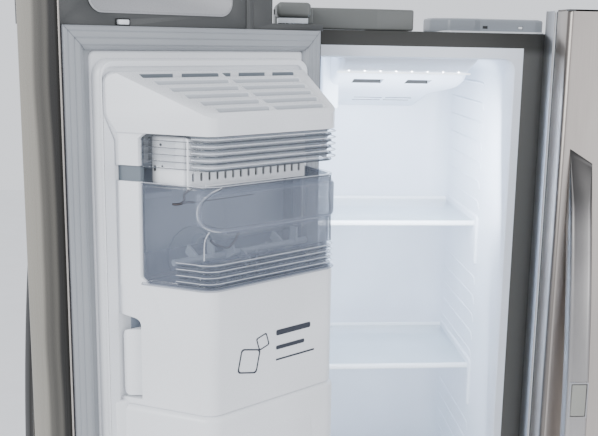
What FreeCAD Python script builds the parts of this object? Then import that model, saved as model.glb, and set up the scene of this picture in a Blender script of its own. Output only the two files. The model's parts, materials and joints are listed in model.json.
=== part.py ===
import FreeCAD, Part
import os

# Side by side refrigerator, millimetres. The origin is on the floor, midway between the cabinet's sides,
# under the cabinet's front face. +X is to the viewer's right, +Y goes to the back, +Z is up.
# The freezer door stands open and the fridge door is closed.

# ---- cabinet
HALF_W = 455.5              # half the cabinet's width
DEPTH = 610.0               # cabinet without its doors
CASE_BOTTOM = 75.0
TOP = 1745.0                # cabinet top
SHEET = 1.2                 # sheet steel
FACE = 1.5                  # thickness of the front face frame
FACE_STRIP = 21.8           # width of the painted strip round the front
MULLION = (-81.1, -33.0)    # painted strip between the two compartments
LINER = 2.0                 # thickness of the plastic liners
FREEZER_X = (-419.0, -93.0)
FRIDGE_X = (-20.0, 419.0)
CEILING = TOP - 37.2
LINER_FLOOR = 115.0
LEDGES = ((LINER_FLOOR - 1, LINER_FLOOR + 7.5), (356.0, 364.5))   # under the drawers, on both walls
FREEZER_BACK = 525.0
STEP_Y = 390.0              # the liners step forward here, over the machine room
STEP_Z = 360.0
MACHINE_TOP = 348.0

# ---- doors; u runs from the hinge pin towards the free edge, v towards the cabinet, when closed
PIN_X = 435.5
PIN_FORWARD = 57.0
FREEZER_OPEN = 141.94       # degrees
HINGE_SIDE = -20.0          # u of the door's hinge side
FREEZER_EDGE = 376.0        # u of the freezer door's free edge
FRIDGE_EDGE = 489.3
FRONT = -53.0               # v of the front skin
BODY = 45.0                 # v of the door body's inner plane
SEAL = 56.0                 # v of the gasket's sealing face
DOOR_BOTTOM = 65.0
FREEZER_TOP = TOP + 36.5
FRIDGE_TOP = TOP + 33.6
NOTCH_U = 71.5              # the hinge notch in a door's top ends here
NOTCH_Z = TOP + 5.5
PIN_R = 5.0
PIN_HOLE_R = 5.05
INNER_DOOR = 7.0            # v of the inner fridge door's outer face
OUTER_DOOR = -6.0           # v of the outer fridge door's back
OUTER_PIN = (-5.5, -29.5)   # u, v of the outer door's own pin
GASKET_W = 27.0

# ---- handle: a bar bent to a circular arc, its ends let into the door
HANDLE_Z = (620.0, 1586.0)
HANDLE_RISE = 63.0
HANDLE_THICK = 25.0
FREEZER_HANDLE_U = (327.0, 361.0)
FRIDGE_HANDLE_U = (440.5, 474.5)
BUTTON_Z = 1233.0
BUTTON_SIZE = (22.0, 48.0)
BUTTON_DEPTH = 8.0

# ---- ice room on the freezer door; heights are below the cabinet top
PANEL_V = 60.0              # the liner's raised panel
PANEL_BOTTOM = 121.0
ROOM_FRONT = 172.0
ROOM_PLAN = ((314.0, PANEL_V), (260.0, ROOM_FRONT), (66.0, ROOM_FRONT), (35.0, PANEL_V))
WALL = 3.0
LIP_Z = TOP - 121.0
STRIP_Z = (TOP - 160.0, TOP - 122.0)
BIN_TOP = TOP - 177.5
BIN_SPLIT = TOP - 297.0     # the bin's clear part ends here
SEAM = TOP - 449.0          # the bin assembly's lower end
LOWER_END = TOP - 640.0
POST_V = 87.0               # the uprights beside the window end here
TAB_END = TOP - 159.0
ROOM_TOP = TOP - 54.0       # level part of the hood's roof
ROOM_CORNER = 20.0          # radius of the two front uprights
GAP = 0.5                   # between the bin assembly and what it slides out of
BIN_BACK = 89.0
AUGER = (115.0, TOP - 272.0)
EJECTOR = (112.0, TOP - 146.0)
ARM = (147.5, TOP - 179.5)

# ---- inside
SHELF_Y = (160.5, 394.0)
FREEZER_SHELVES = (TOP - 317.0, TOP - 575.0, TOP - 833.0, TOP - 1091.0)
FRIDGE_SHELVES = (TOP - 317.0, TOP - 595.0, TOP - 873.0, 576.0)
FRIDGE_SHELF_Y = (150.0, 495.0)
GLASS = 4.0
EVAPORATOR_COVER_Y = 425.0
EVAPORATOR_FAN = (-256.0, 476.0, 900.0)
DUCT_X = (-350.0, -150.0)        # the freezer's ceiling duct
FRIDGE_DUCT_X = (120.0, 280.0)   # the upright duct on the fridge compartment's back
DRAWER_FRONT = 105.0
DRAWER_BACK = 384.0
CRISPER_FRONT = 165.0
DRAWER_TOPS = (330.0, 600.0)     # lower and upper freezer drawers
UPPER_DRAWER_Z = 365.0
UPPER_CRISPER_TOP = 552.0

# ---- machine room and base
CONDENSER_FAN = (118.0, 505.0, 205.0)
FAN_BORE = 3.05
SHAFT_R = 3.0
COMPRESSOR = (260.0, 505.0)
COMPRESSOR_R = 72.0
INLET = (-300.0, 598.0, 250.0)   # water inlet stub
INLET_R = 4.8
GLAND = (390.0, 120.0)           # x, z of the power cord's gland
LEG_X = 417.0
LEG_Y = 60.0
ROLLER_Y = 560.0
ROLLER_R = 20.0
KICK_PLATE_Y = -34.0
HINGE_PLATE = 7.0                # thickness of the upper hinges' steel
COVER_KNOB = (405.0, 452.0)      # across each upper hinge cover's front part

# ---- ice and water dispenser in the freezer door's front: u0, u1, z0, z1
DISPENSER = (95.0, 285.0, 950.0, 1290.0)
DISPENSER_DEPTH = 58.0
DISPENSER_PANEL = 110.0          # height of the control panel over the recess
PADDLE_PIVOT = (-14.0, 1160.0)   # v, z

# ---- door baskets
BASKET_H = 120.0
FREEZER_BASKETS = (140.0, 410.0, 690.0)
BASKET_PLAN = ((325.0, PANEL_V), (300.0, 140.0), (92.0, 140.0), (45.0, PANEL_V))
COMPARTMENT_BASKETS = (660.0, 990.0, 1320.0)
COMPARTMENT_PLAN = ((400.0, 10.0), (392.0, 140.0), (82.0, 140.0), (74.0, 10.0))
LOW_BASKETS = (150.0, 390.0)
LOW_PLAN = ((430.0, 54.0), (424.0, 108.0), (60.0, 108.0), (50.0, 54.0))

# ---- fridge door: an inner door that carries baskets, and an outer door in front of it
WINDOW = (70.0, 405.0, 640.0, 1640.0)   # opening to the door compartment: u0, u1, z0, z1
BLOCK_U = 35.0              # hinge blocks at the inner door's corners
BLOCK_V = -25.0
BLOCK_H = 42.0
BRACKET_Z = (112.0, TOP - 52.0)
OUTER_LID = 2.5             # lid on the outer door's top

PARTS = {}


def V(x, y, z):
    return FreeCAD.Vector(x, y, z)


def box(x0, x1, y0, y1, z0, z1):
    return Part.makeBox(x1 - x0, y1 - y0, z1 - z0, V(x0, y0, z0))


def rod(base, direction, radius, length):
    return Part.makeCylinder(radius, length, V(*base), V(*direction))


def prism(points, z0, z1):
    """A prism on a plan polygon, from z0 to z1."""
    wire = Part.makePolygon([V(x, y, z0) for x, y in points] + [V(*points[0], z0)])
    return Part.Face(wire).extrude(V(0, 0, z1 - z0))


def side_prism(points, x0, x1):
    """A prism on a polygon of (y, z) points, from x0 to x1."""
    wire = Part.makePolygon([V(x0, y, z) for y, z in points] + [V(x0, *points[0])])
    return Part.Face(wire).extrude(V(x1 - x0, 0, 0))


def joined(shapes):
    first = shapes[0]
    return first.fuse(shapes[1:]).removeSplitter() if len(shapes) > 1 else first


def rounded(shape, radius, chosen):
    """The shape with the edges for which chosen(edge) is true rounded."""
    edges = [e for e in shape.Edges if chosen(e)]
    return shape.makeFillet(radius, edges) if edges else shape


def upright(x, y):
    """Chooses the vertical edge at a plan point."""
    def chosen(edge):
        a, b = edge.Vertexes[0].Point, edge.Vertexes[-1].Point
        near = abs(a.x - x) < 0.1 and abs(a.y - y) < 0.1
        return near and abs(b.x - x) < 0.1 and abs(b.y - y) < 0.1
    return chosen


def save(name, shape):
    PARTS[name] = shape


# ---- door frames. Freezer door pieces are drawn closed and then swung open about the pin.
def fu(u):
    return u - PIN_X


def fv(v):
    return v - PIN_FORWARD


def ru(u):
    return PIN_X - u


def freezer_box(u0, u1, v0, v1, z0, z1):
    return box(fu(u0), fu(u1), fv(v0), fv(v1), z0, z1)


def fridge_box(u0, u1, v0, v1, z0, z1):
    return box(ru(u1), ru(u0), fv(v0), fv(v1), z0, z1)


def freezer_plan(points, z0, z1):
    return prism([(fu(u), fv(v)) for u, v in points], z0, z1)


def fridge_plan(points, z0, z1):
    return prism([(ru(u), fv(v)) for u, v in points], z0, z1)


def save_open(name, shape):
    """A freezer door piece, turned to the open pose."""
    turned = shape.copy()
    turned.rotate(V(-PIN_X, -PIN_FORWARD, 0), V(0, 0, 1), -FREEZER_OPEN)
    save(name, turned)


# ---- cabinet
def face_frame():
    bars = [
        box(-HALF_W, HALF_W, 0, FACE, TOP - FACE_STRIP, TOP),
        box(-HALF_W, HALF_W, 0, FACE, CASE_BOTTOM, CASE_BOTTOM + FACE_STRIP),
        box(-HALF_W, -HALF_W + FACE_STRIP, 0, FACE, CASE_BOTTOM, TOP),
        box(HALF_W - FACE_STRIP, HALF_W, 0, FACE, CASE_BOTTOM, TOP),
        box(*MULLION, 0, FACE, CASE_BOTTOM, TOP),
    ]
    save("front_face_frame", joined(bars))


def case_and_back():
    outside = box(-HALF_W, HALF_W, FACE, DEPTH - SHEET, CASE_BOTTOM, TOP)
    inside = box(-HALF_W + SHEET, HALF_W - SHEET, 0, DEPTH, 0, TOP - SHEET)
    save("outer_case", outside.cut(inside))
    panel = box(-HALF_W, HALF_W, DEPTH - SHEET, DEPTH, MACHINE_TOP, TOP)
    cover = box(-HALF_W, HALF_W, DEPTH - SHEET, DEPTH, CASE_BOTTOM, MACHINE_TOP - 1)
    slots = [box(x, x + 6, DEPTH - 5, DEPTH + 5, 140, 290) for x in range(-240, 260, 24)]
    inlet = rod(INLET, (0, 1, 0), 8, 60)
    save("rear_covers", Part.makeCompound([panel, cover.cut(slots + [inlet])]))


def cavity(x, grow):
    """The room inside a liner, grown outwards by a wall thickness."""
    main = box(x[0] - grow, x[1] + grow, -1, FREEZER_BACK + grow, STEP_Z - grow, CEILING + grow)
    foot = box(x[0] - grow, x[1] + grow, -1, STEP_Y + grow, LINER_FLOOR - grow, STEP_Z + 10)
    return main.fuse(foot).removeSplitter()


def liner(x, flange_x):
    front = box(-HALF_W, HALF_W, 0, DEPTH, 0, TOP)
    shell = cavity(x, LINER).common(front)
    flange = box(*flange_x, 0, FACE, CASE_BOTTOM + FACE_STRIP, TOP - FACE_STRIP)
    ledges = []
    sides = ((x[0] - 1, x[0] + 39), (x[1] - 39, x[1] + 1))
    for z0, z1 in LEDGES:
        ledges += [box(a, b, 110, STEP_Y - 8, z0, z1) for a, b in sides]
    return shell.fuse(flange).cut(cavity(x, 0)).fuse(ledges).removeSplitter()


def liners_and_foam():
    save("freezer_liner", liner(FREEZER_X, (-HALF_W + FACE_STRIP, MULLION[0])))
    save("fridge_liner", liner(FRIDGE_X, (MULLION[1], HALF_W - FACE_STRIP)))
    block = box(-HALF_W + SHEET, HALF_W - SHEET, FACE, DEPTH - SHEET, CASE_BOTTOM, TOP - SHEET)
    room = box(-HALF_W, HALF_W, STEP_Y + 10, DEPTH, 0, MACHINE_TOP)
    save("cabinet_foam", block.cut([cavity(FREEZER_X, LINER), cavity(FRIDGE_X, LINER), room]))


def shelf_set(heights, x, y):
    """Glass plates and the frames that hold their front and back edges."""
    glass, frames = [], []
    for z in heights:
        glass.append(box(x[0] + 1, x[1] - 1, y[0] + 5.5, y[1] - 4, z - GLASS - 1, z - 1))
        front = box(x[0] + 1, x[1] - 1, y[0], y[0] + 5.5, z - 11, z)
        rounded_front = rounded(front, 2.0, lambda e: abs(e.CenterOfMass.y - y[0]) < 0.1 and e.Length > 50)
        back = box(x[0] + 1, x[1] - 1, y[1] - 4, y[1], z - 8, z + 4)
        rails = [box(a, a + 5, y[0] + 5.5, y[1] - 4, z - 11, z - GLASS - 1) for a in (x[0] + 1, x[1] - 6)]
        frames.append(joined([rounded_front, back] + rails))
    return Part.makeCompound(glass), Part.makeCompound(frames)


def shelves():
    glass, frames = shelf_set(FREEZER_SHELVES, FREEZER_X, SHELF_Y)
    save("freezer_shelf_glass", glass)
    save("freezer_shelf_frames", frames)
    glass, frames = shelf_set(FRIDGE_SHELVES, FRIDGE_X, FRIDGE_SHELF_Y)
    save("fridge_shelves", Part.makeCompound(glass.Solids + frames.Solids))


def freezer_ceiling():
    profile = ((12, CEILING), (12, CEILING - 5), (60, TOP - 60), (424, TOP - 139), (424, CEILING))
    housing = side_prism(profile, *DUCT_X)
    right = DUCT_X[1]
    side = [(right - 10, 240), (right + 1, 240), (right + 1, 425), (right - 15, 425)]
    save("freezer_duct_cover", housing.cut(prism(side, TOP - 200, TOP)))


def evaporator():
    x0, x1 = FREEZER_X
    y = EVAPORATOR_COVER_Y
    save("evaporator_cover", box(x0 + 0.5, x1 - 0.5, y, y + 12, STEP_Z + 1, CEILING - 0.5))
    fins = [box(x, x + 0.8, 455, 510, 420, 800) for x in range(-390, -120, 15)]
    tubes = [rod((-400, y, z), (1, 0, 0), 4, 290) for y in (468, 497) for z in range(440, 790, 40)]
    save("evaporator_coil", joined(tubes + fins))
    save("evaporator_fan", fan(EVAPORATOR_FAN, 52, 14, FAN_BORE, "y"))


def fan(centre, radius, width, bore, axis):
    """A hub with five twisted blades, on a shaft along the axis."""
    x, y, z = centre
    hub = rod((x, y, z), (0, 1, 0), 15, width)
    blades = []
    for i in range(5):
        blade = box(x + 13, x + radius, y + width / 2 - 1, y + width / 2 + 1, z - 13, z + 13)
        blade.rotate(V(x, y + width / 2, z), V(1, 0, 0), 22)
        blade.rotate(V(x, y, z), V(0, 1, 0), 72 * i)
        blades.append(blade)
    whole = joined([hub] + blades).cut(rod((x, y - 20, z), (0, 1, 0), bore, width + 40))
    if axis == "x":
        whole.rotate(V(x, y, z), V(0, 0, 1), -90)
    return whole


def fridge_duct():
    x0, x1 = FRIDGE_DUCT_X
    duct = box(x0, x1, 500, FREEZER_BACK, 600, CEILING)
    vents = [box(x0 + 30, x1 - 30, 495, 515, z, z + 8) for z in range(700, 1600, 120)]
    lamp = side_prism(((100, CEILING), (110, TOP - 50), (300, TOP - 50), (310, CEILING)), 60, 340)
    save("fridge_duct_and_lamp", Part.makeCompound([duct.cut(vents), lamp]))


def drawer(x0, x1, y0, y1, z0, z1):
    """An open-topped box with a thicker front and a finger lip."""
    body = box(x0, x1, y0, y1, z0, z1)
    inside = box(x0 + WALL, x1 - WALL, y0 + 8, y1 - WALL, z0 + WALL, z1 + 1)
    lip = box(x0 + 60, x1 - 60, y0 - 10, y0, z1 - 16, z1)
    return body.cut(inside).fuse(lip).removeSplitter()


def drawers():
    x0, x1 = FREEZER_X[0] + 29, FREEZER_X[1] - 29
    floor = LINER_FLOOR + 8
    save("freezer_drawer_lower", drawer(x0, x1, DRAWER_FRONT, DRAWER_BACK, floor, DRAWER_TOPS[0]))
    save("freezer_drawer_upper", drawer(x0, x1, DRAWER_FRONT, DRAWER_BACK, UPPER_DRAWER_Z, DRAWER_TOPS[1]))
    x0, x1 = FRIDGE_X[0] + 7, FRIDGE_X[1] - 7
    save("crisper_lower", drawer(x0, x1, CRISPER_FRONT, DRAWER_BACK, floor, DRAWER_TOPS[0]))
    save("crisper_upper", drawer(x0, x1, CRISPER_FRONT, 485, UPPER_DRAWER_Z, UPPER_CRISPER_TOP))


def machine_room():
    cx, cy = COMPRESSOR
    can = rod((cx, cy, 92), (0, 0, 1), COMPRESSOR_R, 120)
    shell = joined([can, Part.makeSphere(COMPRESSOR_R, V(cx, cy, 212))])
    feet = box(cx - 70, cx + 70, cy - 65, cy + 65, 84, 92)
    save("compressor", joined([shell, feet]))
    fins = [box(x, x + 1, 430, 580, 100, 300) for x in range(-130, 40, 12)]
    tubes = [rod((-140, y, z), (1, 0, 0), 4, 190) for y in (460, 505, 550) for z in range(120, 300, 40)]
    save("condenser_coil", joined(fins + tubes))
    x, y, z = CONDENSER_FAN
    low_motor = box(x + 22, x + 47, y - 25, y + 25, 66, z + 25)
    low_motor = joined([low_motor, rod((x - 13, y, z), (1, 0, 0), SHAFT_R, 40)])
    save("condenser_fan", fan(CONDENSER_FAN, 80, 14, FAN_BORE, "x"))
    x, y, z = EVAPORATOR_FAN
    high_motor = box(x - 44, x + 44, y + 22, y + 48, z - 40, z + 40)
    high_motor = joined([high_motor, rod((x, y - 6, z), (0, 1, 0), SHAFT_R, 30)])
    save("fan_motors", Part.makeCompound([low_motor, high_motor]))
    x, y, z = INLET
    valve = joined([box(x - 30, x + 30, y - 38, y + 2, z - 25, z + 25), rod(INLET, (0, 1, 0), INLET_R, 32)])
    save("water_valve", valve)
    gx, gz = GLAND
    plate = box(gx - 15, gx + 15, DEPTH, DEPTH + 3, gz - 15, gz + 15)
    gland = joined([plate, rod((gx, DEPTH, gz), (0, 1, 0), 8, 12)])
    save("power_cord_gland", gland.cut(rod((gx, DEPTH - 5, gz), (0, 1, 0), 5, 30)))


def base():
    rails = [box(x - 3, x + 3, 10, 600, 12, CASE_BOTTOM) for x in (-440, 440, -395, 395)]
    cross = [box(-398, 398, 10, 40, 60, CASE_BOTTOM), box(-398, 398, 400, 608, 62, 66)]
    tops = [box(a, b, 10, 600, CASE_BOTTOM - 4, CASE_BOTTOM) for a, b in ((-443, -392), (392, 443))]
    bosses = [rod((x, LEG_Y, 40), (0, 0, 1), 12, CASE_BOTTOM - 41) for x in (-LEG_X, LEG_X)]
    frame = joined(rails + cross + tops + bosses)
    frame = frame.cut([rod((x, LEG_Y, 0), (0, 0, 1), 6.06, 72) for x in (-LEG_X, LEG_X)])
    frame = frame.cut([box(-392, 392, 39, 401, 0, 59), box(-392, 392, 399, 620, 0, 61)])
    axles = [rod((x, ROLLER_Y, ROLLER_R), (1, 0, 0), 4, 46) for x in (-440, 394)]
    save("base_frame", joined([frame] + axles))
    for side, x in (("left", -LEG_X), ("right", LEG_X)):
        foot = rod((x, LEG_Y, 0), (0, 0, 1), 19, 10)
        save("levelling_leg_" + side, joined([foot, rod((x, LEG_Y, 5), (0, 0, 1), 6, 63)]))
        wheel = rod((x - 12, ROLLER_Y, ROLLER_R), (1, 0, 0), ROLLER_R, 24)
        save("rear_roller_" + side, wheel.cut(rod((x - 20, ROLLER_Y, ROLLER_R), (1, 0, 0), 4.05, 40)))
    plate = box(-398, 398, KICK_PLATE_Y, KICK_PLATE_Y + 3, 6, 56)
    slots = [box(x, x + 22, KICK_PLATE_Y - 6, -20, 22, 40) for x in range(-370, 350, 34)]
    arms = [box(x, x + 20, KICK_PLATE_Y + 3, 10, 30, 50) for x in (-380, 360)]
    save("kick_plate", joined([plate.cut(slots)] + arms))


def front_but_not_lower(edge):
    """Chooses a hinge cover's front edges, apart from the one over the hinge."""
    middle = edge.CenterOfMass
    return abs(middle.y + 80) < 0.1 and abs(middle.z - TOP - 14.7) > 1


def hinge_hardware():
    upper, lower, covers = [], [], []
    for side in (-1, 1):
        def sbox(a, b, y0, y1, z0, z1):
            return box(min(side * a, side * b), max(side * a, side * b), y0, y1, z0, z1)
        arm = sbox(410, 450, -74, 66, TOP + HINGE_PLATE, TOP + 2 * HINGE_PLATE)
        foot = sbox(320, 450, 8, 66, TOP, TOP + HINGE_PLATE)
        pin = rod((side * PIN_X, -PIN_FORWARD, TOP - 32), (0, 0, 1), PIN_R, 46)
        upper.append(joined([arm, foot, pin]))
        knob = sbox(*COVER_KNOB, -80, 60, TOP + 14.7, TOP + 35)
        knob = rounded(knob, 6.0, front_but_not_lower)
        main = sbox(246, COVER_KNOB[1], 4, 96, TOP, TOP + 31)
        room = sbox(318, COVER_KNOB[1] + 0.5, 3, 68, TOP - 1, TOP + 7.2)
        room = room.fuse(sbox(409, COVER_KNOB[1] + 0.5, -90, 68, TOP + 6, TOP + 14.7))
        covers.append(joined([knob, main]).cut(room))
        plate = sbox(*COVER_KNOB, -74, 9.5, 50, 58)
        lug = sbox(*COVER_KNOB, 4, 9.5, 40, CASE_BOTTOM)
        low_pin = rod((side * PIN_X, -PIN_FORWARD, 50), (0, 0, 1), PIN_R, 28)
        lower.append(joined([plate, lug, low_pin]))
    save("upper_hinges", Part.makeCompound(upper))
    save("lower_hinges", Part.makeCompound(lower))
    save("hinge_covers", Part.makeCompound(covers))


def controls():
    outline = ((230, TOP), (240, TOP + 25), (330, TOP + 25), (335, TOP))
    inside = ((233, TOP - 1), (242, TOP + 22.5), (328, TOP + 22.5), (332.5, TOP - 1))
    windows = [box(x, x + 6, 225, 245, TOP + 9, TOP + 13) for x in (-82, -22)]
    save("control_cover", side_prism(outline, -172, 28).cut([side_prism(inside, -169.5, 25.5)] + windows))


# ---- pieces that both doors have
def arc_bar(u0, u1, make_u):
    """The bowed handle: two concentric arcs in the side view, extruded across, cut off at the door's face."""
    zc = (HANDLE_Z[0] + HANDLE_Z[1]) / 2
    half = (HANDLE_Z[1] - HANDLE_Z[0]) / 2
    radius = (half * half + HANDLE_RISE * HANDLE_RISE) / (2 * HANDLE_RISE)
    centre = V(0, fv(FRONT - HANDLE_RISE) + radius, zc)
    x0, x1 = sorted((make_u(u0), make_u(u1)))
    outer = rod((x0, centre.y, zc), (1, 0, 0), radius, x1 - x0)
    inner = rod((x0 - 1, centre.y, zc), (1, 0, 0), radius - HANDLE_THICK, x1 - x0 + 2)
    room = box(x0 - 5, x1 + 5, fv(FRONT) - 200, fv(FRONT), HANDLE_Z[0], HANDLE_Z[1])
    return outer.cut(inner).common(room)


def gasket(u0, u1, v0, v1, z0, z1, width, make_box):
    whole = make_box(u0, u1, v0, v1, z0, z1)
    return whole.cut(make_box(u0 + width, u1 - width, v0 - 1, v1 + 1, z0 + width, z1 - width))


def skin_shell(u0, u1, v0, v1, z0, z1, make_box, make_u):
    """Front and side sheets, with rounded front corners."""
    outside = make_box(u0, u1, v0, v1, z0, z1)
    corners = [upright(make_u(u), fv(v0)) for u in (u0, u1)]
    outside = rounded(outside, 8.0, lambda e: any(c(e) for c in corners))
    inside = make_box(u0 + SHEET, u1 - SHEET, v0 + SHEET, v1 + 5, z0 - 1, z1 + 1)
    corners = [upright(make_u(u), fv(v0 + SHEET)) for u in (u0 + SHEET, u1 - SHEET)]
    inside = rounded(inside, 8.0 - SHEET, lambda e: any(c(e) for c in corners))
    return outside.cut(inside), inside


def notch(make_box, keep_front=None):
    """The space in a door's top for the hinge; its front wall, up to keep_front, stays beyond the pin."""
    whole = make_box(HINGE_SIDE - 5, NOTCH_U, -80, 80, NOTCH_Z, TOP + 60)
    if keep_front is None:
        return whole
    return whole.cut(make_box(10, NOTCH_U + 1, -90, keep_front, NOTCH_Z - 1, TOP + 61))


def basket(points, z0, height, make_plan, wall):
    """An open-topped door basket on a plan outline that is wider at the door."""
    (a, b, c, d) = points
    left = ((a[0] - wall, a[1] + wall), (b[0] - wall, b[1] - wall))
    right = ((c[0] + wall, c[1] - wall), (d[0] + wall, d[1] + wall))
    inner = left + right
    return make_plan(points, z0, z0 + height).cut(make_plan(inner, z0 + wall, z0 + height + 1))


# ---- freezer door
def freezer_door_body():
    u0, u1, z0, z1 = DISPENSER
    back = FRONT + DISPENSER_DEPTH + WALL
    recess = freezer_box(u0 - WALL, u1 + WALL, FRONT - 5, back, z0 - WALL, z1 + WALL)
    skin, inside = skin_shell(HINGE_SIDE, FREEZER_EDGE, FRONT, BODY - 1, DOOR_BOTTOM, TOP + 34,
                              freezer_box, fu)
    save_open("freezer_door_skin", skin.cut([recess, notch(freezer_box, -34)]))
    bottom = inside.common(freezer_box(-50, 400, -80, BODY, DOOR_BOTTOM, 80))
    hole = rod((fu(0), fv(0), 0), (0, 0, 1), PIN_HOLE_R, 79.5)
    bottom = bottom.cut(hole)
    foam = inside.common(freezer_box(-50, 400, -80, BODY - 2, 80, TOP - 20))
    pin_room = rod((fu(0), fv(0), TOP - 40), (0, 0, 1), 7, 60)
    save_open("freezer_door_foam", foam.cut([recess, pin_room]))
    cap = inside.common(freezer_box(-50, 400, -80, BODY, TOP - 20, TOP + 34))
    lid = freezer_box(HINGE_SIDE, FREEZER_EDGE, FRONT, BODY, TOP + 34, FREEZER_TOP)
    rear = freezer_box(HINGE_SIDE, FREEZER_EDGE, BODY, BODY + 5, TOP - 2.7, FREEZER_TOP)
    pocket = freezer_box(145, 330, BODY + 2, BODY + 6, TOP + 12, FREEZER_TOP + 5)
    rib = freezer_box(104, 115, BODY + 5, BODY + 8, TOP - 2.7, FREEZER_TOP)
    cap = joined([cap, lid, rear, rib]).cut([notch(freezer_box, -34), pocket])
    cap = cap.cut(rod((fu(0), fv(0), TOP - 60), (0, 0, 1), PIN_HOLE_R, 100))
    save_open("freezer_door_caps", Part.makeCompound([cap, bottom]))


def freezer_door_inside():
    sheet = freezer_box(HINGE_SIDE + SHEET, FREEZER_EDGE - SHEET, BODY - 2, BODY, 80, TOP - 20)
    panel = freezer_box(24, 335, BODY, PANEL_V, PANEL_BOTTOM, TOP - 40)
    corners = [upright(fu(u), fv(PANEL_V)) for u in (24, 335)]
    panel = rounded(panel, 8.0, lambda e: any(c(e) for c in corners))
    save_open("freezer_door_liner", joined([sheet, panel]))
    save_open("freezer_door_gasket", gasket(-9, 371.5, BODY, SEAL, 80, TOP - 2.9, GASKET_W, freezer_box))


def room_offset(inset, v0, v1):
    """The ice room's plan between two depths, moved in from its flanks by inset."""
    (ua, va), (ub, vb), (uc, vc), (ud, vd) = ROOM_PLAN
    left = (ub - ua) / (vb - va)
    right = (uc - ud) / (vc - vd)
    return ((ua + left * (v0 - va) - inset, v0), (ua + left * (v1 - va) - inset, v1),
            (ud + right * (v1 - vd) + inset, v1), (ud + right * (v0 - vd) + inset, v0))


def soften_corners(shape, points, radius):
    """Rounds the two front uprights of an ice room piece."""
    corners = [upright(fu(u), fv(v)) for u, v in points[1:3]]
    return rounded(shape, radius, lambda e: any(c(e) for c in corners))


def wedge(rise, v0, v1):
    """The space over the ice room's sloping top, raised by rise."""
    level = ROOM_TOP + rise
    under = ((v0, level), (72, level), (v1 - 7, level - 44), (v1 + 30, level - 50))
    outline = under + ((v1 + 30, TOP + 10), (v0, TOP + 10))
    return side_prism([(fv(v), z) for v, z in outline], fu(0), fu(360))


def grille_opening(inset, z0, z1):
    left = ((290 - inset, 78 + inset), (241 - inset, 160 - inset))
    right = ((76 + inset, 160 - inset), (55 + inset, 78 + inset))
    return freezer_plan(left + right, z0, z1)


def posts(v0, z0, z1):
    """The narrow uprights beside the ice bin's window, one on each flank."""
    left = ((314, v0), (301, POST_V), (290, POST_V), (303, v0))
    right = ((35, v0), (42.5, POST_V), (53, POST_V), (46, v0))
    return [freezer_plan(outline, z0, z1) for outline in (left, right)]


def ice_room():
    plan = room_offset(0, PANEL_V, ROOM_FRONT)
    outside = soften_corners(freezer_plan(plan, LIP_Z, TOP - 50), plan, ROOM_CORNER)
    outside = outside.cut(wedge(0, 50, ROOM_FRONT))
    hollow_plan = room_offset(WALL, PANEL_V - 1, ROOM_FRONT - WALL)
    hollow = soften_corners(freezer_plan(hollow_plan, LIP_Z - 1, TOP - 50), hollow_plan, ROOM_CORNER - WALL)
    hollow = hollow.cut(wedge(-WALL, 40, ROOM_FRONT))
    hood = outside.cut([hollow, grille_opening(0, TOP - 140, TOP)])
    tabs = posts(PANEL_V, TAB_END, LIP_Z)
    low_plan = room_offset(-4, PANEL_V, ROOM_FRONT + 3)
    low = soften_corners(freezer_plan(low_plan, LOWER_END, SEAM), low_plan, ROOM_CORNER + 2)
    low_hollow = freezer_plan(room_offset(4, PANEL_V - 1, ROOM_FRONT - 8), LOWER_END + 4, SEAM - 4)
    save_open("ice_room_housing", joined([hood, ice_grille()] + tabs + [low.cut(low_hollow)]))
    low, high = STRIP_Z
    strip = soften_corners(freezer_plan(plan, low, high), plan, ROOM_CORNER)
    inner = room_offset(2, PANEL_V - 1, ROOM_FRONT - 2)
    inside = soften_corners(freezer_plan(inner, low - 1, high + 1), inner, ROOM_CORNER - 2)
    strip = strip.cut([inside, freezer_box(0, 400, 0, 100, low - 1, high + 1)])
    save_open("ice_room_clear_strip", strip)


def ice_grille():
    """Sloping slats in the ice room's top, with one divider."""
    opening = grille_opening(-1, TOP - 120, TOP - 40)
    bars = [freezer_box(50, 295, v, v + 4, TOP - 110, TOP - 50) for v in range(91, 150, 14)]
    slats = [bar.common(opening) for bar in bars]
    divider = freezer_plan(((175, 77), (166, 161), (162, 161), (171, 77)), TOP - 110, TOP - 50)
    return joined(slats + [divider]).cut(wedge(0, 50, ROOM_FRONT)).common(wedge(-WALL, 50, ROOM_FRONT))


def ice_maker():
    v, z = EJECTOR
    body = freezer_box(95, 265, 80, 142, TOP - 172, z)
    trough = rod((fu(100), fv(v), z), (1, 0, 0), 22, 160)
    body = body.cut(trough)
    gear_case = freezer_box(261, 272, 88, 132, TOP - 172, TOP - 124)
    back = freezer_box(95, 272, PANEL_V, 80, TOP - 160, TOP - 130)
    cover = freezer_box(108, 262, 146, 149, TOP - 176, TOP - 124)
    slots = [freezer_box(u, u + 3, 140, 155, TOP - 168, TOP - 158) for u in range(116, 256, 10)]
    arms = freezer_box(108, 262, 142, 146, TOP - 172, TOP - 168)
    lugs = [freezer_box(u, u + 4, 144, 151, TOP - 183, TOP - 176) for u in (156, 214)]
    whole = joined([body, gear_case, back, cover.cut(slots), arms] + lugs)
    bores = [
        rod((fu(100), fv(v), z), (1, 0, 0), 4.06, 169),
        rod((fu(140), fv(ARM[0]), ARM[1]), (1, 0, 0), 1.55, 100),
    ]
    save_open("ice_maker", whole.cut(bores))
    shaft = rod((fu(102), fv(v), z), (1, 0, 0), 4, 166)
    fingers = [freezer_box(u, u + 3, v - 1.5, v + 1.5, z, z + 18) for u in range(112, 256, 18)]
    save_open("ice_ejector", joined([shaft] + fingers))
    v, z = ARM
    wire = [
        rod((fu(150), fv(v), z), (1, 0, 0), 1.5, 91.5),
        rod((fu(240), fv(v), z + 1.5), (0, 0, -1), 1.5, 65),
        rod((fu(205), fv(v), z - 62), (1, 0, 0), 1.5, 36.5),
    ]
    save_open("ice_shut_off_arm", joined(wire))


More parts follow.
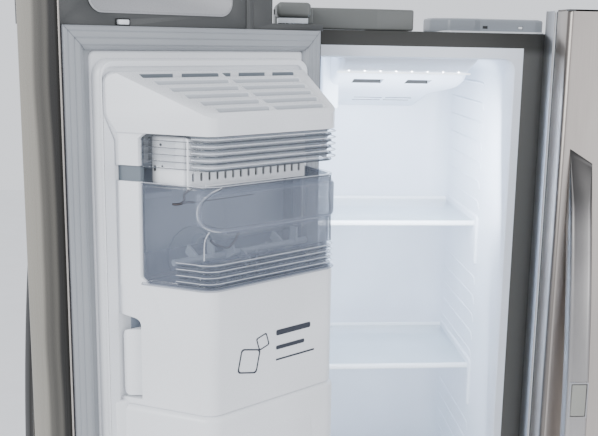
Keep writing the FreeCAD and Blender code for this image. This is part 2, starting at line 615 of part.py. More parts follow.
def ice_bin():
    plan = room_offset(0.3, BIN_BACK, ROOM_FRONT)
    inner = room_offset(WALL, BIN_BACK + WALL, ROOM_FRONT - WALL)
    clear = soften_corners(freezer_plan(plan, BIN_SPLIT - 3, BIN_TOP), plan, ROOM_CORNER)
    room = soften_corners(freezer_plan(inner, BIN_SPLIT, BIN_TOP + 1), inner, ROOM_CORNER - WALL)
    low_back = freezer_box(0, 400, 70, BIN_BACK + WALL + 1, BIN_SPLIT + 35, BIN_TOP + 1)
    v, z = AUGER
    bearing = rod((fu(40), fv(v), z), (1, 0, 0), 4.06, 400)
    ends = [freezer_box(a, a + 6, v - 14, v + 14, BIN_SPLIT - 1, z + 12) for a in (68, 266)]
    save_open("ice_bin", joined([clear.cut([room, low_back])] + ends).cut(bearing))
    whole_plan = room_offset(0, PANEL_V + GAP, ROOM_FRONT)
    cover = soften_corners(freezer_plan(whole_plan, SEAM + GAP, BIN_SPLIT - 3), whole_plan, ROOM_CORNER)
    hollow_plan = room_offset(WALL, PANEL_V - 1, ROOM_FRONT - WALL)
    hollow = freezer_plan(hollow_plan, SEAM + GAP + WALL, BIN_SPLIT - 6)
    hollow = soften_corners(hollow, hollow_plan, ROOM_CORNER - WALL)
    save_open("ice_bin_cover", joined([cover.cut(hollow)] + posts(PANEL_V + GAP, BIN_SPLIT - 6, BIN_TOP)))
    shaft = rod((fu(67), fv(v), z), (1, 0, 0), 4, 206)
    blades = []
    for i, u in enumerate(range(86, 262, 22)):
        blade = freezer_box(u, u + 3, v - 6, v + 6, z, z + 20)
        blade.rotate(V(fu(u), fv(v), z), V(1, 0, 0), 60 * i)
        blades.append(blade)
    save_open("ice_auger", joined([shaft] + blades))


def dispenser():
    u0, u1, z0, z1 = DISPENSER
    back = FRONT + DISPENSER_DEPTH
    split = z1 - DISPENSER_PANEL
    v, z = PADDLE_PIVOT
    outer = freezer_box(u0 - WALL, u1 + WALL, FRONT - 2, back + WALL, z0 - WALL, z1 + WALL)
    panel = freezer_box(u0, u1, FRONT + 6, back + 1, split, z1)
    room = freezer_box(u0, u1, FRONT - 5, back, z0, split)
    face = freezer_box(u0, u1, FRONT - 5, FRONT + 2, split, z1)
    display = freezer_box(u0 + 8, u1 - 8, FRONT + 1, FRONT + 2, split + 10, z1 - 10)
    shaft = rod((fu(150), fv(v), z), (1, 0, 0), SHAFT_R, 80)
    paddle = freezer_box(160, 220, v - 3, v + 1, z - 100, z - 2)
    ears = [freezer_box(a, a + 8, v - 6, v + 6, z - 6, split) for a in (150, 222)]
    housing = joined([outer.cut([room, face]), display, panel] + ears)
    save_open("dispenser_housing", housing.cut(rod((fu(140), fv(v), z), (1, 0, 0), SHAFT_R + 0.05, 100)))
    save_open("dispenser_paddle", joined([shaft, paddle]))
    tray = freezer_box(u0 + 12, u1 - 12, FRONT + 3, FRONT + 54, z0, z0 + 12)
    starts = [u0 + 22 + 12 * i for i in range(12)]
    slots = [freezer_box(a, a + 6, FRONT + 8, FRONT + 48, z0 + 3, z0 + 20) for a in starts]
    save_open("drip_tray", tray.cut(slots))


def freezer_baskets():
    baskets = [basket(BASKET_PLAN, z, BASKET_H, freezer_plan, WALL) for z in FREEZER_BASKETS]
    save_open("freezer_door_baskets", Part.makeCompound(baskets))


# ---- fridge door
def inner_door():
    u0, u1, z0, z1 = WINDOW
    plate = fridge_box(HINGE_SIDE, FRIDGE_EDGE, INNER_DOOR, BODY, DOOR_BOTTOM, FRIDGE_TOP)
    window = fridge_box(u0, u1, INNER_DOOR - 1, BODY + 30, z0, z1)
    panel = fridge_box(24, 448, BODY, PANEL_V - 6, PANEL_BOTTOM, TOP - 40)
    blocks = [fridge_box(-11, BLOCK_U, BLOCK_V, INNER_DOOR, a, b)
              for a, b in ((DOOR_BOTTOM, DOOR_BOTTOM + BLOCK_H), (TOP - BLOCK_H, NOTCH_Z))]
    brackets = [fridge_box(-14, 12, OUTER_PIN[1] - 9, INNER_DOOR, z, z + 4) for z in BRACKET_Z]
    x, y = ru(OUTER_PIN[0]), fv(OUTER_PIN[1])
    pins = [rod((x, y, z), (0, 0, 1), 4, 24) for z in (BRACKET_Z[0], BRACKET_Z[1] - 20)]
    hinges = [joined([b, p]) for b, p in zip(brackets, pins)]
    door = joined([plate, panel] + blocks).cut([window, notch(fridge_box)])
    ends = ((DOOR_BOTTOM - 1, 30), (TOP - 40, 60))
    holes = [rod((ru(0), fv(0), z), (0, 0, 1), PIN_HOLE_R, length) for z, length in ends]
    save("fridge_inner_door", joined([door.cut(holes)] + hinges))
    save("fridge_door_gasket", gasket(-9, 484, BODY, SEAL, 80, TOP - 2.9, GASKET_W, fridge_box))
    baskets = [basket(COMPARTMENT_PLAN, z, BASKET_H, fridge_plan, WALL) for z in COMPARTMENT_BASKETS]
    baskets += [basket(LOW_PLAN, z, BASKET_H, fridge_plan, WALL) for z in LOW_BASKETS]
    save("fridge_door_baskets", Part.makeCompound(baskets))


def outer_door():
    lid_z = FRIDGE_TOP - OUTER_LID
    skin, inside = skin_shell(HINGE_SIDE, FRIDGE_EDGE, FRONT, OUTER_DOOR - 1, DOOR_BOTTOM, lid_z,
                              fridge_box, ru)
    block_rooms = [fridge_box(HINGE_SIDE - 5, 42, -45, 10, a, b)
                   for a, b in ((0, DOOR_BOTTOM + BLOCK_H + 3), (TOP - BLOCK_H - 3, NOTCH_Z + 1))]
    bracket_rooms = [fridge_box(HINGE_SIDE - 5, 24, -45, 10, z - 2, z + 6) for z in BRACKET_Z]
    gaps = block_rooms + bracket_rooms + [notch(fridge_box, -45)]
    save("outer_door_skin", skin.cut(gaps))
    lid = fridge_box(HINGE_SIDE, FRIDGE_EDGE, FRONT, OUTER_DOOR, lid_z, FRIDGE_TOP)
    holes = [rod((ru(OUTER_PIN[0]), fv(OUTER_PIN[1]), z - 60), (0, 0, 1), 4.05, 120) for z in BRACKET_Z]
    core = inside.common(fridge_box(-50, 500, -80, OUTER_DOOR, DOOR_BOTTOM, NOTCH_Z)).cut(gaps + holes)
    upper = inside.common(fridge_box(-50, 500, -80, OUTER_DOOR, NOTCH_Z, lid_z))
    cap = joined([upper, lid]).cut(gaps + holes)
    save("outer_door_panel", Part.makeCompound([core, cap]))
    save("outer_door_gasket", gasket(48, 425, OUTER_DOOR, INNER_DOOR - 1.5, 618, 1662, 20, fridge_box))


def handles():
    save_open("freezer_door_handle", arc_bar(*FREEZER_HANDLE_U, fu))
    bar = arc_bar(*FRIDGE_HANDLE_U, ru)
    xm = (ru(FRIDGE_HANDLE_U[0]) + ru(FRIDGE_HANDLE_U[1])) / 2
    w, h = BUTTON_SIZE
    zc = (HANDLE_Z[0] + HANDLE_Z[1]) / 2
    half = (HANDLE_Z[1] - HANDLE_Z[0]) / 2
    front = fv(FRONT) - HANDLE_RISE * (1 - ((BUTTON_Z - zc) / half) ** 2)

    def cell(gap, y0, y1):
        a, b = w / 2 - gap, h / 2 - gap
        return box(xm - a, xm + a, y0, y1, BUTTON_Z - b, BUTTON_Z + b)
    save("outer_door_handle", bar.cut(cell(0, front - 10, front + BUTTON_DEPTH + 4)))
    save("outer_door_button", cell(0.4, front - 1.5, front + BUTTON_DEPTH - 1))


def main():
    face_frame()
    case_and_back()
    liners_and_foam()
    shelves()
    freezer_ceiling()
    evaporator()
    fridge_duct()
    drawers()
    machine_room()
    base()
    hinge_hardware()
    controls()
    freezer_door_body()
    freezer_door_inside()
    ice_room()
    ice_maker()
    ice_bin()
    dispenser()
    freezer_baskets()
    inner_door()
    outer_door()
    handles()
    os.makedirs("parts", exist_ok=True)
    for name, shape in PARTS.items():
        shape.exportStep("parts/" + name + ".step")


main()
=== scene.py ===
import json
import math

import bmesh
import bpy
from mathutils import Matrix, Vector


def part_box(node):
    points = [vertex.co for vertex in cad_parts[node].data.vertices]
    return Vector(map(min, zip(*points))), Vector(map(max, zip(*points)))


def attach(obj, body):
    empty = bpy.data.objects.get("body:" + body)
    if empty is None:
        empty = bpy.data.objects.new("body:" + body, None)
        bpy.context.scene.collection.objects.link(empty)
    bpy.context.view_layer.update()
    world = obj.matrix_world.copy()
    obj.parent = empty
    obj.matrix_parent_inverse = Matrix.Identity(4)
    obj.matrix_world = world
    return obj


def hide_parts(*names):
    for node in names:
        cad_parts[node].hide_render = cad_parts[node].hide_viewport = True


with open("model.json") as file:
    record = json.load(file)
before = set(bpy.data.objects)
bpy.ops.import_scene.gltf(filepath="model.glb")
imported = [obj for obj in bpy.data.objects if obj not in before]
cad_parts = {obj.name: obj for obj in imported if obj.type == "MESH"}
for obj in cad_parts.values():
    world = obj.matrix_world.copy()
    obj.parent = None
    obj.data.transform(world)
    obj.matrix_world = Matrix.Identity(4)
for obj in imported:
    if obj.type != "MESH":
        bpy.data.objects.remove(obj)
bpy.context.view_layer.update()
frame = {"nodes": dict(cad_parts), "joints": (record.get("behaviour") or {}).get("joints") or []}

# Looks of the side by side refrigerator, in metres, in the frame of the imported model.
# A place on a door is given as u, from its hinge pin towards its free edge, and v, towards the cabinet when
# the door is closed. Heights near the top are given from the cabinet's top. The freezer door rests open,
# so its pieces are made in its own frame and then moved by FREEZER_DOOR.
JOINTS = {j["name"]: j for j in frame["joints"]}
SWING = JOINTS["freezer_door_swing"]
PIN = Vector((SWING["pos_m"][0], SWING["pos_m"][1], 0))
OPEN = math.radians(-SWING["range_deg"][0])
FREEZER_DOOR = Matrix.Translation(PIN) @ Matrix.Rotation(-OPEN, 4, "Z")
U_AXIS = Vector((math.cos(OPEN), -math.sin(OPEN), 0))
V_AXIS = Vector((math.sin(OPEN), math.cos(OPEN), 0))
FRIDGE_PIN = Vector((-PIN.x, PIN.y, 0))
FRIDGE_DOOR = Matrix.Translation(FRIDGE_PIN) @ Matrix.Diagonal((-1, 1, 1, 1))
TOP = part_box("outer_case")[1].z        # the cabinet's top

FRONT_V = -0.053          # the doors' front skin
REAR_V = 0.045            # plane that the gaskets stand on
SEAL_V = 0.056            # the gaskets' sealing face
PANEL_V = 0.06            # the freezer door liner's raised panel
HINGE_U = -0.02
FREEZER_U = 0.376
FRIDGE_U = 0.4893
DOOR_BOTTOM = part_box("freezer_door_skin")[0].z
BRACKET_Z = (0.112, TOP - 0.052)     # brackets of the outer door's own pins
FREEZER_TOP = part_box("freezer_door_caps")[1].z
FREEZER_SKIN_TOP = TOP + 0.034
SHEET = 0.0012            # thickness of the doors' steel
CAP_BOTTOM = TOP - 0.0027
NOTCH_Z = TOP + 0.0055    # from here up the doors make room for the hinges
HINGE_ROOM_U = (-0.03, 0.0715)
PIN_ROOM = ((-0.03, 0.01), (-0.08, 0.06))
HANDLE_ENDS = (0.62, 1.586)
HANDLE_RISE = 0.063
HANDLE_DEPTH = 0.025
FRIDGE_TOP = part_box("fridge_inner_door")[1].z


# looks of the room and the view
CAMERA_PLACE = (-0.5015, -1.3765, TOP - 0.0092)
CAMERA_TURN = (5.61, 11.31, -1.19)       # degrees to the right, down and rolled
CAMERA_LENS = 55.84
CAMERA_SHIFT = (-0.0523, 0.0059)
WORLD_COLOR = (0.85, 0.875, 0.93, 1)
WORLD_STRENGTH = 1.38
FLOOR_COLOR = (0.9, 0.905, 0.915)
FLOOR_HALF = 9
DAYLIGHT = (0.97, 0.985, 1.0)
LIGHTS = [
    # name, place, target, size, power, colour
    ("key", (-2.6, -2.4, 2.8), (-0.2, 0, 1.3), (1.6, 1.6), 84, DAYLIGHT),
    ("fill", (2.2, -2.6, 2.0), (0, 0, 1.2), (1.6, 1.6), 32, DAYLIGHT),
    ("inside", (-0.25, 0.03, TOP - 0.2), (-0.25, 0.42, TOP - 0.27), (0.27, 0.2), 3.0, (0.8, 0.89, 1.0)),
    ("inside_low", (-0.25, 0.03, TOP - 0.62), (-0.25, 0.42, TOP - 0.66), (0.27, 0.6), 0.9,
     (0.78, 0.88, 1.0)),
]


# ---- meshes
def piece(name, verts, faces, matrix=None):
    """A mesh object from points and faces."""
    mesh = bpy.data.meshes.new(name)
    mesh.from_pydata([tuple(v) for v in verts], [], faces)
    if matrix is not None:
        mesh.transform(matrix)
        if matrix.determinant() < 0:
            mesh.flip_normals()
    ob = bpy.data.objects.new(name, mesh)
    bpy.context.scene.collection.objects.link(ob)
    return ob


def edited(ob, change):
    """The object after change has worked on its mesh."""
    bm = bmesh.new()
    bm.from_mesh(ob.data)
    change(bm)
    bm.to_mesh(ob.data)
    bm.free()
    return ob


def outward(ob):
    """Makes every face of a closed mesh look outwards."""
    def change(bm):
        bmesh.ops.remove_doubles(bm, verts=bm.verts, dist=1e-6)
        bmesh.ops.recalc_face_normals(bm, faces=bm.faces)
    return edited(ob, change)


def round_outline(points, radius, steps=6):
    """A closed outline with round corners. radius is one length, or one for each point."""
    count = len(points)
    radii = radius if isinstance(radius, (list, tuple)) else [radius] * count
    out = []
    for i, point in enumerate(points):
        p = Vector(point)
        r = radii[i]
        if r <= 0:
            out.append((p.x, p.y))
            continue
        a = (Vector(points[i - 1]) - p).normalized()
        b = (Vector(points[(i + 1) % count]) - p).normalized()
        half = a.angle(b) / 2
        centre = p + (a + b).normalized() * (r / math.sin(half))
        start = p + a * (r / math.tan(half)) - centre
        end = p + b * (r / math.tan(half)) - centre
        first = math.atan2(start.y, start.x)
        turn = (math.atan2(end.y, end.x) - first + math.pi) % (2 * math.pi) - math.pi
        for k in range(steps + 1):
            t = first + turn * k / steps
            out.append((centre.x + r * math.cos(t), centre.y + r * math.sin(t)))
    return out


def rectangle(x0, x1, y0, y1):
    return [(x0, y0), (x1, y0), (x1, y1), (x0, y1)]


def loft(name, rings, matrix=None, caps=True, closed=True):
    """A skin over rings of the same number of points."""
    n = len(rings[0])
    verts = [p for ring in rings for p in ring]
    faces = []
    for r in range(len(rings) - 1):
        for i in range(n if closed else n - 1):
            j = (i + 1) % n
            faces.append((r * n + i, r * n + j, (r + 1) * n + j, (r + 1) * n + i))
    if caps:
        faces.append(tuple(range(n - 1, -1, -1)))
        faces.append(tuple(range((len(rings) - 1) * n, len(rings) * n)))
    ob = piece(name, verts, faces, matrix)
    return outward(ob) if caps else ob


def prism(name, outline, low, high, axis="z", matrix=None):
    """An outline pushed from low to high along an axis. Its points are (y, z) along x and (x, z) along y."""
    place = {"z": lambda p, h: (p[0], p[1], h), "x": lambda p, h: (h, p[0], p[1]), "y": lambda p,
             h: (p[0], h, p[1])}
    return loft(name, [[place[axis](p, h) for p in outline] for h in (low, high)], matrix)


def block(name, x, y, z, matrix=None):
    """A box between two corners."""
    return prism(name, rectangle(x[0], x[1], y[0], y[1]), z[0], z[1], "z", matrix)


def tube(name, points, radius, matrix=None, sides=12):
    """A round bar along points."""
    path = [Vector(p) for p in points]
    rings = []
    side = None
    for i, p in enumerate(path):
        along = (path[min(i + 1, len(path) - 1)] - path[max(i - 1, 0)]).normalized()
        if side is None:
            side = along.orthogonal().normalized()
        side = (side - along * side.dot(along)).normalized()
        other = along.cross(side)
        rings.append([p + side * radius * math.cos(t) + other * radius * math.sin(t)
                      for t in circle(sides)])
    return loft(name, rings, matrix)


def bead(points, radius, sides):
    """A thin round bar that becomes part of a larger piece."""
    return tube("bead", points, radius, None, sides)


def joined(name, parts):
    """One object from several meshes."""
    bm = bmesh.new()
    for part in parts:
        bm.from_mesh(part.data)
        bpy.data.objects.remove(part)
    mesh = bpy.data.meshes.new(name)
    bm.to_mesh(mesh)
    bm.free()
    ob = bpy.data.objects.new(name, mesh)
    bpy.context.scene.collection.objects.link(ob)
    return ob


def settle(ob):
    """The object's modifiers, made part of its mesh."""
    graph = bpy.context.evaluated_depsgraph_get()
    mesh = bpy.data.meshes.new_from_object(ob.evaluated_get(graph))
    ob.modifiers.clear()
    ob.data = mesh
    return ob


def combined(ob, other, operation):
    """Boolean of two meshes; the second one is used up."""
    step = ob.modifiers.new("step", "BOOLEAN")
    step.operation = operation
    step.solver = "EXACT"
    step.use_self = True
    step.object = other
    bpy.context.view_layer.update()
    settle(ob)
    bpy.data.objects.remove(other)
    return ob


def cut(ob, cutters):
    """Takes the cutters out of a mesh."""
    return combined(ob, joined("cutter", cutters), "DIFFERENCE")


def bevelled(ob, width, segments=3, angle=35):
    """Rounds the edges that are sharper than angle."""
    edge = ob.modifiers.new("edges", "BEVEL")
    edge.width = width
    edge.segments = segments
    edge.limit_method = "ANGLE"
    edge.angle_limit = math.radians(angle)
    edge.use_clamp_overlap = True
    edge.miter_outer = "MITER_ARC"
    return settle(ob)


def thickened(ob, thickness, offset=-1):
    wall = ob.modifiers.new("wall", "SOLIDIFY")
    wall.thickness = thickness
    wall.offset = offset
    return settle(ob)


def smooth(ob, angle=32):
    """Smooth shading, with edges sharper than angle kept crisp."""
    ob.data.polygons.foreach_set("use_smooth", [True] * len(ob.data.polygons))
    ob.data.set_sharp_from_angle(angle=math.radians(angle))
    return ob


def finished(ob, name, material, body, replaces=(), angle=32):
    """Names a piece, gives it its material and fixes it to its body."""
    ob.name = name
    ob.data.name = name
    smooth(ob, angle)
    ob.data.materials.clear()
    ob.data.materials.append(material)
    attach(ob, body)
    if replaces:
        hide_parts(*replaces)
    return ob


def on_door(ob, name, material, slot, replaces=(), angle=32, body="freezer_door"):
    """Finishes a piece that was made in the freezer door's own frame."""
    ob.data.transform(FREEZER_DOOR)
    return finished(ob, name, material, body, replaces, angle)


def groups_on_door(groups, slot, angle=32, body="freezer_door"):
    """Finishes lists of meshes, each list as one piece with its name and material."""
    for parts, name, material in groups:
        on_door(joined(name, parts), name, material, slot, (), angle, body)


def circle(count):
    """Angles of evenly spaced points round a circle."""
    return [2 * math.pi * k / count for k in range(count)]


# ---- materials
ALONG_Z = (1, 1, 0.012)       # how brushing stretches the scratches' noise
ALONG_X = (0.012, 1, 1)
NO_GRAIN = (1, 1, 1)


def surface(name, color, rough, metallic=0.0, **sockets):
    """A Principled material, and its node tree and shader."""
    material = bpy.data.materials.new(name)
    material.use_nodes = True
    tree = material.node_tree
    shader = tree.nodes["Principled BSDF"]
    shader.inputs["Base Color"].default_value = (*color, 1)
    shader.inputs["Roughness"].default_value = rough
    shader.inputs["Metallic"].default_value = metallic
    for socket, value in sockets.items():
        shader.inputs[socket.replace("_", " ")].default_value = value
    return material, tree, shader


def texture(tree, scale, detail=3.0, stretch=(1, 1, 1)):
    """Noise in the object's own coordinates, in metres."""
    place = tree.nodes.new("ShaderNodeTexCoord")
    mapping = tree.nodes.new("ShaderNodeMapping")
    mapping.inputs["Scale"].default_value = stretch
    grain = tree.nodes.new("ShaderNodeTexNoise")
    grain.inputs["Scale"].default_value = scale
    grain.inputs["Detail"].default_value = detail
    tree.links.new(place.outputs["Object"], mapping.inputs["Vector"])
    tree.links.new(mapping.outputs["Vector"], grain.inputs["Vector"])
    return grain.outputs["Fac"]


def ramp(tree, value, low, high, spread=(0.35, 0.65)):
    """Maps a noise value onto a range of colours or numbers."""
    node = tree.nodes.new("ShaderNodeValToRGB")
    node.color_ramp.elements[0].position = spread[0]
    node.color_ramp.elements[1].position = spread[1]
    node.color_ramp.elements[0].color = (*low, 1) if isinstance(low, tuple) else (low, low, low, 1)
    node.color_ramp.elements[1].color = (*high, 1) if isinstance(high, tuple) else (high, high, high, 1)
    tree.links.new(value, node.inputs["Fac"])
    return node.outputs["Color"]


def bump(tree, shader, value, strength, distance):
    """Fine relief from a noise value."""
    node = tree.nodes.new("ShaderNodeBump")
    node.inputs["Strength"].default_value = strength
    node.inputs["Distance"].default_value = distance
    tree.links.new(value, node.inputs["Height"])
    tree.links.new(node.outputs["Normal"], shader.inputs["Normal"])


def shaded(color, factor):
    """A lighter or darker version of a colour."""
    return tuple(min(1.0, c * factor) for c in color)


def moulded(name, color, rough=0.35, grain=900.0, depth=0.00004, spread=0.04):
    """Moulded plastic: slow colour drift, fine skin grain."""
    material, tree, shader = surface(name, color, rough)
    drift = texture(tree, 6.0, 2.0)
    tree.links.new(ramp(tree, drift, shaded(color, 1 - spread), shaded(color, 1 + spread)),
                   shader.inputs["Base Color"])
    fine = texture(tree, grain, 2.0)
    tree.links.new(ramp(tree, fine, rough * 0.85, min(1.0, rough * 1.15)), shader.inputs["Roughness"])
    bump(tree, shader, fine, 0.25, depth)
    return material


def brushed(name, color, rough=0.28, stretch=ALONG_Z, scale=900.0, contrast=0.05):
    """Metal with long fine scratches; stretch is small along the brushing."""
    material, tree, shader = surface(name, color, rough, metallic=1.0)
    lines = texture(tree, scale, 4.0, stretch)
    soft = texture(tree, 7.0, 2.0, (1, 1, 0.3))
    mix = tree.nodes.new("ShaderNodeMix")
    mix.data_type = "RGBA"
    mix.inputs["Factor"].default_value = 0.4
    tree.links.new(ramp(tree, lines, shaded(color, 1 - contrast), shaded(color, 1 + contrast)),
                   mix.inputs["A"])
    tree.links.new(ramp(tree, soft, shaded(color, 0.93), shaded(color, 1.05)), mix.inputs["B"])
    tree.links.new(mix.outputs["Result"], shader.inputs["Base Color"])
    tree.links.new(ramp(tree, lines, rough * (1 - contrast), rough * (1 + 2 * contrast)),
                   shader.inputs["Roughness"])
    bump(tree, shader, lines, 0.05, 0.00002)
    return material


def painted_light_bands(material, direction, offset, stops, wander=0.0):
    """Paints light and shade into a material's colour in bands across one direction: painted reflections of
    the room in polished metal, painted shade on mouldings.
    """
    tree = material.node_tree
    shader = tree.nodes["Principled BSDF"]
    place = tree.nodes.new("ShaderNodeTexCoord")
    along = tree.nodes.new("ShaderNodeVectorMath")
    along.operation = "DOT_PRODUCT"
    along.inputs[1].default_value = direction
    tree.links.new(place.outputs["Object"], along.inputs[0])
    drift = tree.nodes.new("ShaderNodeMath")
    drift.operation = "MULTIPLY_ADD"
    drift.inputs[1].default_value = wander
    drift.inputs[2].default_value = offset - wander / 2
    tree.links.new(texture(tree, 5.0, 1.0, (0, 0, 1)), drift.inputs[0])
    total = tree.nodes.new("ShaderNodeMath")
    tree.links.new(along.outputs["Value"], total.inputs[0])
    tree.links.new(drift.outputs["Value"], total.inputs[1])
    bands = tree.nodes.new("ShaderNodeValToRGB")
    bands.color_ramp.interpolation = "EASE"
    while len(bands.color_ramp.elements) < len(stops):
        bands.color_ramp.elements.new(0.5)
    for element, (position, tone) in zip(bands.color_ramp.elements, stops):
        element.position = position
        element.color = (tone, tone, tone, 1)
    tree.links.new(total.outputs["Value"], bands.inputs["Fac"])
    mix = tree.nodes.new("ShaderNodeMix")
    mix.data_type = "RGBA"
    mix.blend_type = "MULTIPLY"
    mix.inputs["Factor"].default_value = 1.0
    source = shader.inputs["Base Color"].links[0].from_socket
    tree.links.new(source, mix.inputs["A"])
    tree.links.new(bands.outputs["Color"], mix.inputs["B"])
    tree.links.new(mix.outputs["Result"], shader.inputs["Base Color"])
    return material


def door_painted_light_bands(material, axis, scale, start, stops, wander=0.0):
    """Painted light and shade in bands along one of the open freezer door's own axes; start is the ramp's
    value at the hinge pin.
    """
    return painted_light_bands(material, axis * scale, start - scale * axis.dot(PIN), stops, wander)


def clear(name, color, low, high, rough=0.06, spread=(0.05, 0.95)):
    """Clear moulded plastic: nearly see-through face on, denser along its edges."""
    material, tree, shader = surface(name, color, rough, Specular_IOR_Level=0.7, Coat_Weight=0.5,
                                     Coat_Roughness=0.05)
    edge = tree.nodes.new("ShaderNodeLayerWeight")
    edge.inputs["Blend"].default_value = 0.35
    tree.links.new(ramp(tree, edge.outputs["Facing"], low, high, spread), shader.inputs["Alpha"])
    drift = texture(tree, 25.0, 2.0)
    tree.links.new(ramp(tree, drift, shaded(color, 0.94), shaded(color, 1.04)), shader.inputs["Base Color"])
    bump(tree, shader, texture(tree, 60.0, 2.0), 0.15, 0.0003)
    return material


def glowing(name, color, strength):
    """A lamp's cover, lit a little unevenly."""
    material, tree, shader = surface(name, color, 0.4)
    shader.inputs["Emission Color"].default_value = (*color, 1)
    dots = texture(tree, 40.0, 1.0)
    tree.links.new(ramp(tree, dots, strength * 0.7, strength), shader.inputs["Emission Strength"])
    return material


WHITE = moulded("white_moulding", (0.8, 0.815, 0.84), 0.3)
LINER_WHITE = moulded("liner_white", (0.76, 0.8, 0.87), 0.38)
DARK_CAP = moulded("dark_cap", (0.048, 0.05, 0.05), 0.42)
COVER_GREY = moulded("cover_grey", (0.105, 0.11, 0.105), 0.45)
CONTROL_GREY = moulded("control_grey", (0.24, 0.26, 0.285), 0.35)
SILVER = moulded("silver_plastic", (0.32, 0.32, 0.33), 0.3)
GASKET = moulded("gasket_vinyl", (0.31, 0.325, 0.345), 0.55, 500.0)
BLACK = moulded("black_plastic", (0.02, 0.021, 0.022), 0.4)
CONTROL_WHITE = moulded("control_white", (0.66, 0.68, 0.7), 0.35)
# Painted shade: a darker copy of the white moulding for the grille's vanes, which lie in shade.
VANE_SHADE = moulded("vane_painted_shade", (0.56, 0.59, 0.63), 0.4)
# Painted shade: dark grey for white insides that lie in shade, under the hood and beside the window and
# grip.
INSIDE_SHADE = moulded("inside_painted_shade", (0.14, 0.165, 0.19), 0.6)
# Painted shade: the bluish liner white darkened, for the walls and parts in shade behind the clear bin.
WALL_SHADE = moulded("wall_painted_shade", (0.33, 0.375, 0.45), 0.45)
VENT_GREY = moulded("vent_grey", (0.16, 0.17, 0.19), 0.6)
BUTTON_GREY = moulded("button_grey", (0.26, 0.26, 0.235), 0.4)
INK = moulded("printed_ink", (0.02, 0.025, 0.04), 0.5)
STEEL = brushed("brushed_steel", (0.52, 0.48, 0.435), 0.3)
# Painted reflection: the fridge handle's steel is darkened towards its top.
HANDLE_STEEL = painted_light_bands(brushed("handle_steel", (0.52, 0.5, 0.49), 0.3, ALONG_Z, 500.0, 0.03), (0, 0, 1), -0.6,
                     [(0.0, 0.85), (0.55, 0.85), (0.78, 0.6), (0.86, 0.4), (0.93, 0.14), (0.98, 0.1)])
# Painted reflection: dark bands across the freezer door's steel side, the room's image in the sheet.
DOOR_STEEL = door_painted_light_bands(brushed("door_steel", (0.44, 0.41, 0.345), 0.26), V_AXIS, 9, 0.527,
                       [(0.0, 0.85), (0.12, 0.95), (0.42, 0.88), (0.55, 0.3), (0.66, 0.22), (0.76, 0.3),
                        (0.86, 0.04), (0.97, 0.04)], 0.22)
# Painted reflection: a dark band on the outer door's side just behind its bright front corner.
OUTER_STEEL = painted_light_bands(brushed("outer_door_steel", (0.535, 0.485, 0.445), 0.3), (0, 22, 0),
                    -22 * (FRONT_V + PIN.y),
                    [(0.0, 1.0), (0.004, 1.0), (0.012, 0.42), (0.11, 0.3), (0.2, 0.92), (1.0, 0.86)])
# Painted shade: the inner door's steel edge darkens towards the back of the door gap.
EDGE_STEEL = painted_light_bands(brushed("inner_edge_steel", (0.5, 0.52, 0.56), 0.3), (0, 26, 0), -26 * (0.0072 + PIN.y),
                   [(0.0, 1.0), (0.15, 0.95), (0.45, 0.68), (0.8, 0.46), (1.0, 0.4)])
# Painted reflection: the freezer handle is darkened across its width towards the door's free edge.
FREEZER_HANDLE_STEEL = door_painted_light_bands(brushed("freezer_handle_steel", (0.5, 0.49, 0.47), 0.3, ALONG_Z, 500.0,
                                         0.03),
                                 U_AXIS, 90, -31.5, [(0.0, 0.9), (0.5, 0.8), (0.8, 0.14), (1.0, 0.1)])
# Painted shade: the ice maker's white case darkens towards the door's liner.
SHADED_WHITE = door_painted_light_bands(moulded("shaded_white", (0.8, 0.815, 0.84), 0.35), V_AXIS, 33, -2.838,
                         [(0.0, 0.18), (0.25, 0.45), (0.65, 0.95), (1.0, 1.0)])
# Painted shade: the face frame's paint is darkened towards the cabinet's top.
STRIP = painted_light_bands(brushed("strip_paint", (0.145, 0.145, 0.138), 0.5, ALONG_X), (0, 0, 20), 1 - 20 * TOP,
              [(0.0, 1.0), (0.3, 1.0), (0.62, 0.5), (1.0, 0.45)])
CASE = moulded("case_paint", (0.16, 0.158, 0.15), 0.5, 700.0)
ZINC = brushed("zinc_plate", (0.62, 0.65, 0.68), 0.35, NO_GRAIN, 120.0, 0.1)
WIRE = brushed("wire_steel", (0.11, 0.1, 0.1), 0.35, NO_GRAIN, 300.0)
CLEAR = clear("clear_plastic", (0.55, 0.6, 0.67), 0.12, 0.85)
CLEAR_RIBBED = clear("clear_ribbed", (0.4, 0.44, 0.5), 0.05, 0.98, 0.05, (0.1, 0.55))
CLEAR_BIN = clear("clear_bin", (0.25, 0.285, 0.365), 0.19, 0.92, 0.05, (0.12, 0.75))
# Painted highlights and painted shadow lines, carried by thin beads along the clear parts' edges and ribs.
CLEAR_PAINTED_HIGHLIGHT = clear("clear_highlight", (0.86, 0.89, 0.95), 0.3, 0.7)
CLEAR_PAINTED_SHADOW = clear("clear_shadow", (0.09, 0.105, 0.13), 0.6, 0.85)
GLASS = clear("shelf_glass", (0.66, 0.76, 0.82), 0.14, 0.6)
GLASS_EDGE = moulded("shelf_trim", (0.86, 0.88, 0.91), 0.25)
LAMP = glowing("lamp_strip", (0.93, 0.97, 1.0), 2.2)
LAMP_POINT = glowing("lamp_point", (0.95, 0.98, 1.0), 30.0)
FOAM = moulded("foam", (0.75, 0.68, 0.45), 0.9, 300.0, 0.0004)
BLACK_STEEL = moulded("black_enamel", (0.015, 0.015, 0.016), 0.3)
ALUMINIUM = brushed("aluminium_fins", (0.75, 0.76, 0.78), 0.4, NO_GRAIN, 200.0)
GALVANISED = brushed("galvanised", (0.45, 0.46, 0.47), 0.5, NO_GRAIN, 30.0)


# ---- freezer door
def hinge_rooms(front_v, high):
    """What both doors leave free round their upper hinge and its pin."""
    return [block("notch", HINGE_ROOM_U, (front_v, 0.06), (NOTCH_Z, high)),
            block("side", *PIN_ROOM, (NOTCH_Z, high))]


def door_section(u0, u1, v0, v1, radius):
    """Plan of a door body: round front corners, square back."""
    return round_outline([(u0, v0), (u1, v0), (u1, v1), (u0, v1)], [radius, radius, 0, 0], 8)


